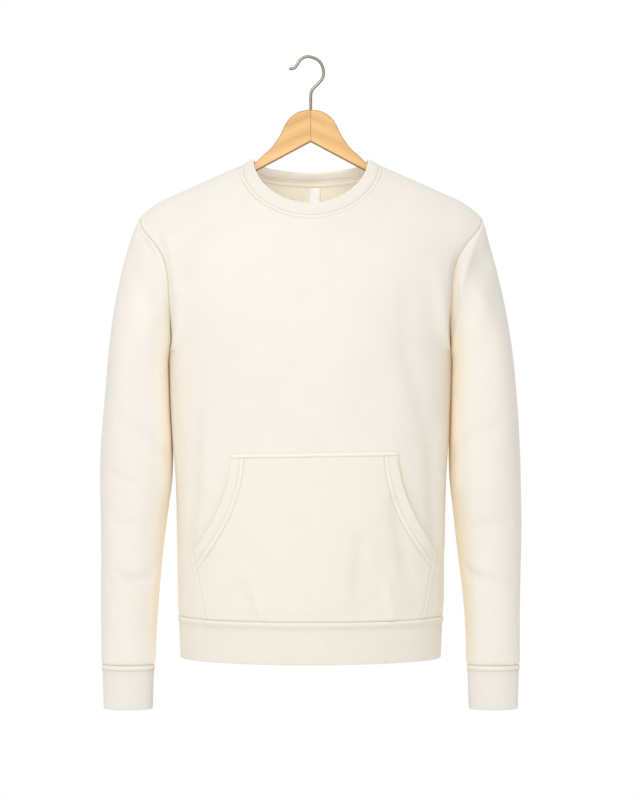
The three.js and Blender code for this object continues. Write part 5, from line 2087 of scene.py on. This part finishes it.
@dataclass
class HangerArm:
    """One wooden arm, cut from a board, with its edges rounded over."""

    hand: Hand
    depth: float = 12.0
    bevel: float = 1.9
    joint_bevel: float = 0.6  # the two arms meet in a fine groove
    end_x: float = 217.0
    seat_drop: float = 4.3
    top: float = -73.4
    notch: float = -118.9
    upper: tuple[tuple[float, float], ...] = (
        (9, -74.2),
        (20, -77.8),
        (30, -85.6),
        (36.5, -95),
        (44, -110.3),
        (56, -127.4),
        (66, -136.4),
        (75, -145.2),
        (81, -150.2),
        (90, -155.4),
    )
    lower: tuple[tuple[float, float], ...] = ((199, -213.5), (150, -191.2), (104, -171.6), (78, -160.6))

    def _outline(self) -> Array:
        """The arm's outline seen from the front, for the wearer's left.

        Returns:
            Pairs of x and z, in millimetres.
        """
        seat = [(x, float(BODY.ridge(x)) - self.seat_drop) for x in (100, 130, 160, 190, 205)]
        knots = np.array([(SEAM_GAP / 4, self.top), *self.upper, *seat])
        line = catmull_rom(knots, 60)
        low = float(BODY.ridge(self.end_x))
        tail = [
            (self.end_x - 5, float(BODY.ridge(self.end_x - 5)) - self.seat_drop - 0.6),
            (self.end_x, low - 9),
            (self.end_x - 1.5, low - 14),
            (self.end_x - 7, low - 15.5),
        ]
        return np.array([*line, *tail, *self.lower, (SEAM_GAP / 4, self.notch)])

    def build(self, finish: Material) -> Object:
        """Makes the arm.

        Args:
            finish: its material.

        Returns:
            The object.
        """
        outline = self._outline() * [self.hand.value, 1]
        mesh = bmesh.new()
        spots = [mesh.verts.new((x * MM, -self.depth / 2 * MM, z * MM)) for x, z in outline]
        board = mesh.faces.new(spots)
        moved = bmesh.ops.extrude_face_region(mesh, geom=[board])
        far = [item for item in moved["geom"] if isinstance(item, bmesh.types.BMVert)]
        bmesh.ops.translate(mesh, verts=far, vec=(0, self.depth * MM, 0))
        bmesh.ops.recalc_face_normals(mesh, faces=mesh.faces)
        half = self.depth / 2 * MM
        rims = [e for e in mesh.edges if abs(abs(e.verts[0].co.y) - half) < 1e-7]
        rims = [e for e in rims if abs(e.verts[0].co.y - e.verts[1].co.y) < 1e-7]
        rims = [e for e in rims if max(abs(v.co.x) for v in e.verts) > 1.0 * MM]
        bmesh.ops.bevel(mesh, geom=rims, offset=self.bevel * MM, segments=4, profile=0.5, affect="EDGES")
        joint = [e for e in mesh.edges if max(abs(v.co.x) for v in e.verts) < 0.1 * MM]
        joint = [e for e in joint if min(abs(v.co.y) for v in e.verts) > half - 0.1 * MM]
        bmesh.ops.bevel(mesh, geom=joint, offset=self.joint_bevel * MM, segments=1, profile=0.5, affect="EDGES")
        made = bpy.data.meshes.new("beech_arm_" + self.hand.word)
        mesh.to_mesh(made)
        mesh.free()
        edge = made.attributes.new("edge", "FLOAT", "POINT")
        rows = [(abs(v.co.x), abs(v.co.y), v.normal.z) for v in made.vertices]
        across, depth, up = np.array(rows).T
        # The edge colour: full on the joint of the arms and, as painted shade, on faces that look down; 0.4 on
        # rounded edges.
        shade = np.where((across < 0.3 * MM) | (up < -0.2), 1.0, 0.4) * (depth < half - 0.1 * MM)
        edge.data.foreach_set("value", shade.astype(np.float32))
        made.materials.append(finish)
        made.shade_smooth()
        made.set_sharp_from_angle(angle=math.radians(32))
        return put(made.name, made)


def catmull_rom(knots: Array, count: int) -> Array:
    """A smooth curve through points.

    Args:
        knots: the points that it passes.
        count: how many steps it has.

    Returns:
        The curve's points.
    """
    last = len(knots) - 1
    place = np.linspace(0, last, count + 1)
    i = np.minimum(place.astype(int), last - 1)
    t = (place - i)[:, None]
    before, here = knots[np.maximum(i - 1, 0)], knots[i]
    there, after = knots[i + 1], knots[np.minimum(i + 2, last)]
    leave, arrive = (there - before) / 2, (after - here) / 2
    return (
        (2 * here - 2 * there + leave + arrive) * t**3
        + (-3 * here + 3 * there - 2 * leave - arrive) * t**2
        + leave * t
        + here
    )


@dataclass
class HangerHook:
    """The steel hook: a wire whose shank stands in the wood and whose tip curls up and is rounded."""

    radius: float = 2.0
    sides: int = 24
    steps: int = 150
    line: tuple[tuple[float, float], ...] = (
        (0, -97),
        (0, -84),
        (0, -70),
        (0.1, -54),
        (2, -45.2),
        (10.4, -36),
        (16.4, -28.6),
        (18.3, -19.7),
        (15.6, -9),
        (8.6, -1.4),
        (-3.7, 2.4),
        (-13.4, -0.8),
        (-18.9, -8.2),
        (-23.4, -13.8),
        (-29, -15),
    )

    def build(self, finish: Material) -> Object:
        """Makes the hook by sweeping a circle along its centre line.

        Args:
            finish: its material.

        Returns:
            The object.
        """
        flat = catmull_rom(np.array(self.line, dtype=float), self.steps)
        run = unit(np.gradient(flat, axis=0))
        round_end = np.linspace(0, np.pi / 2, 6)[1:]
        cap = flat[-1] + run[-1] * (self.radius * np.sin(round_end))[:, None]
        centre = np.concatenate([flat, cap])
        radii = np.concatenate([np.full(len(flat), self.radius), self.radius * np.maximum(np.cos(round_end), 0.02)])
        runs = np.concatenate([run, np.repeat(run[-1:], len(cap), axis=0)])
        turn = 2 * np.pi * np.arange(self.sides) / self.sides
        across = np.stack([-runs[:, 1], runs[:, 0]], axis=-1)
        x = centre[:, :1] + across[:, :1] * np.cos(turn) * radii[:, None]
        z = centre[:, 1:] + across[:, 1:] * np.cos(turn) * radii[:, None]
        y = np.sin(turn)[None] * radii[:, None]
        places = np.stack([x, y, z], axis=-1).reshape(-1, 3)
        count = len(centre)
        k, i = np.meshgrid(np.arange(count - 1), np.arange(self.sides), indexing="ij")
        j = (i + 1) % self.sides
        quads = np.stack([k * self.sides + i, k * self.sides + j, (k + 1) * self.sides + j, (k + 1) * self.sides + i])
        faces = np.moveaxis(quads, 0, -1).reshape(-1, 4).tolist()
        faces.append(list(range(self.sides))[::-1])
        faces.append([(count - 1) * self.sides + n for n in range(self.sides)])
        # Painted dark reflection: the edge attribute is full at the wire's sides as seen from the front.
        sides = np.tile(smooth(np.abs(np.cos(turn)), 0.45, 0.95), count)
        hook = mesh_object("steel_hook", places, faces, finish, attributes={"edge": sides})
        shape = bmesh.new()
        shape.from_mesh(hook.data)
        bmesh.ops.recalc_face_normals(shape, faces=shape.faces)
        shape.to_mesh(hook.data)
        shape.free()
        return hook


@dataclass(frozen=True)
class Lamp:
    """A soft round studio lamp."""

    name: str
    place: tuple[float, float, float]
    aim: tuple[float, float, float]
    size: float
    power: float

    def build(self) -> None:
        """Makes the lamp, which the camera doesn't see."""
        data = bpy.data.lights.new(self.name, "AREA")
        data.shape = "DISK"
        data.size = self.size
        data.energy = self.power
        made = put(self.name, data)
        made.location = self.place
        made.rotation_euler = (Vector(self.aim) - Vector(self.place)).to_track_quat("-Z", "Y").to_euler()
        made.visible_camera = False


@dataclass
class Studio:
    """The camera, the pale floor and the soft light."""

    distance: float = 3.2
    camera_x: float = 0.0131
    camera_z: float = -0.4852
    lens: float = 101.4
    floor_z: float = -1.25
    floor_radius: float = 0.95
    floor_sides: int = 96
    side_light: float = 0.68  # the even light, from the sides and above
    front_light: float = 0.40  # how much more comes from the front and the back
    lamps: tuple[Lamp, ...] = (
        Lamp("key", (-0.85, -2.35, 1.1), (0.0, 0.0, -0.4), 1.2, 22.5),
        Lamp("behind", (0.85, 2.9, 0.85), (0.0, 0.0, -0.45), 1.2, 20.0),
        Lamp("collar_fill", (0.0, -0.035, -0.235), (0.0, 0.07, -0.175), 0.11, 0.085),
    )

    def camera(self) -> None:
        """Makes the scene's camera, level and square to the front."""
        data = bpy.data.cameras.new("camera")
        data.lens = self.lens
        data.sensor_width = 36.0
        made = put("camera", data)
        made.location = (self.camera_x, -self.distance, self.camera_z)
        made.rotation_euler = (math.pi / 2, 0.0, 0.0)
        bpy.context.scene.camera = made

    def floor(self, finish: Material) -> Object:
        """Makes the floor, a round board with a rolled edge.

        Args:
            finish: its material.

        Returns:
            The object.
        """
        count = self.floor_sides
        turn = 2 * np.pi * np.arange(count) / count
        rings = [(self.floor_radius, 0.0), (self.floor_radius + 0.02, -0.01), (self.floor_radius + 0.02, -0.04)]
        places = [(r * math.cos(t), r * math.sin(t), self.floor_z + z) for r, z in rings for t in turn]
        mesh = bpy.data.meshes.new("floor")
        faces = [list(range(count))]
        for first in (0, count):
            for i in range(count):
                j = (i + 1) % count
                faces.append([first + i, first + count + i, first + count + j, first + j])
        mesh.from_pydata(places, [], faces)
        mesh.materials.append(finish)
        made = put("floor", mesh)
        return made

    def light(self) -> None:
        """Makes the lamps and the even light all round, which the camera sees as a white background."""
        for lamp in self.lamps:
            lamp.build()
        world = bpy.data.worlds.new("studio")
        bpy.context.scene.world = world
        world.use_nodes = True
        tree = world.node_tree
        tree.nodes.clear()
        way = add_node(tree, "ShaderNodeTexCoord").outputs["Generated"]
        depth = add_node(tree, "ShaderNodeSeparateXYZ", inputs={0: way}).outputs["Y"]
        ahead = add_node(
            tree, "ShaderNodeMath", settings={"operation": "MULTIPLY"}, inputs={0: depth, 1: depth}
        ).outputs[0]
        seen = add_node(tree, "ShaderNodeLightPath").outputs["Is Camera Ray"]
        even = add_node(
            tree, "ShaderNodeMapRange",
            inputs={"Value": ahead, "To Min": self.side_light, "To Max": self.side_light + self.front_light},
        ).outputs["Result"]
        white = {3: 1.0}  # a number Mix node has its two inputs at 2 and 3
        strength = add_node(tree, "ShaderNodeMix", inputs={0: seen, 2: even, **white}).outputs[0]
        glow = add_node(tree, "ShaderNodeBackground", inputs={"Strength": strength, "Color": (1.0, 1.0, 1.0, 1.0)})
        add_node(tree, "ShaderNodeOutputWorld", inputs={"Surface": glow.outputs[0]})
        bpy.context.scene.view_settings.view_transform = "Standard"


@dataclass
class Sweatshirt:
    """All the cloth, in the order in which it is sewn together."""

    fleece: Material
    rib: Material
    tape: Material
    label: Material
    thread: Material
    stitches: StitchMaker = field(default_factory=StitchMaker)

    def build(self) -> list[Dressed]:
        """Makes every piece of cloth and its stitches.

        Returns:
            The pieces, in the order in which they are sewn.
        """
        front = BodyPanel(Side.FRONT, FRONT_FOLDS, (0.56, 0.68), 0.305)
        back = BodyPanel(Side.BACK, BACK_FOLDS, (0.56, 0.70), 0.305)
        pocket = Pocket(front)
        collar = NeckRib()
        tape = NeckTape(back)
        label = NeckLabel(tape)
        foot = (pocket.centre, pocket.bottom_half)
        hem = RibBand("hem_rib", HEM_SEAM, HEM_BOTTOM, hem_section, 360, (0.96, 0.062), foot=foot, warmth=0.1)
        made = [
            Dressed(front.build(self.fleece), Slot.FLEECE, ("front",), front.flat, front.area),
            Dressed(back.build(self.fleece), Slot.FLEECE, ("back",), back.flat, back.area),
            Dressed(pocket.build(self.fleece), Slot.FLEECE, ("pocket",), pocket.flat, pocket.area),
            Dressed(hem.build(self.rib), Slot.RIB, ("hem_band",), hem.flat),
            Dressed(collar.build(self.rib), Slot.RIB, ("neck_rib",), collar.flat),
            Dressed(tape.build(self.tape), Slot.TAPE, ("neck_tape",), tape.flat),
            Dressed(label.build(self.label), Slot.LABEL, ("neck_label",), label.flat),
        ]
        cuff_lines: list[Array] = []
        for hand in Hand:
            sleeve = Sleeve(hand)
            made.append(
                Dressed(sleeve.build(self.fleece), Slot.FLEECE, ("sleeve_" + hand.word,), sleeve.flat, sleeve.area)
            )
            cuff = self.cuff(hand)
            made.append(Dressed(cuff.build(self.rib), Slot.RIB, ("cuff_" + hand.word,), cuff.flat))
            cuff_lines += cuff.stitches()
        rows = {
            "neck_stitches": front.neck_stitches() + back.neck_stitches(),
            "pocket_stitches": pocket.stitches(),
            "cuff_stitches": cuff_lines,
            "tape_stitches": tape.stitches(),
        }
        for name, lines in rows.items():
            made.append(Dressed(self.stitches.sew(name, lines, self.thread), Slot.FLEECE))
        return made

    @staticmethod
    def cuff(hand: Hand) -> RibBand:
        """Sizes one sleeve's cuff.

        Args:
            hand: which sleeve.

        Returns:
            The band.
        """
        form = SleeveForm(hand)

        def section(turn: Array, z: Any) -> Array:
            """The cuff's section at a height."""
            return form.tube(CUFF, 2 * np.pi * turn, z)

        return RibBand(
            "cuff_rib_" + hand.word, CUFF_SEAM, CUFF_BOTTOM, section, 144, (0.20, 0.066), welt=1.2, line=7.5
        )


def build_hanger() -> list[Dressed]:
    """Makes the wooden arms and the hook.

    Returns:
        The three pieces.
    """
    made = []
    for hand in Hand:
        slope = math.atan(BODY.ridge_slope) * hand.value
        finish = WoodFinish("varnished_beech_" + hand.word, slope).build()
        arm = HangerArm(hand).build(finish)
        made.append(Dressed(arm, Slot.WOOD, ("hanger_arm_" + hand.word,)))
    hook = HangerHook().build(SteelFinish().build())
    made.append(Dressed(hook, Slot.STEEL, ("hanger_hook",)))
    return made


def main() -> None:
    """Builds the studio, the sweatshirt and its hanger, in that order."""
    logging.basicConfig(level=logging.INFO, format="%(message)s")
    studio = Studio()
    studio.camera()
    studio.floor(FloorFinish().build())
    studio.light()
    cloth = Sweatshirt(FLEECE.build(), RIB.build(), TAPE.build(), LABEL.build(), ThreadFinish().build())
    for piece in cloth.build() + build_hanger():
        piece.place()


if __name__ == "__main__":
    main()
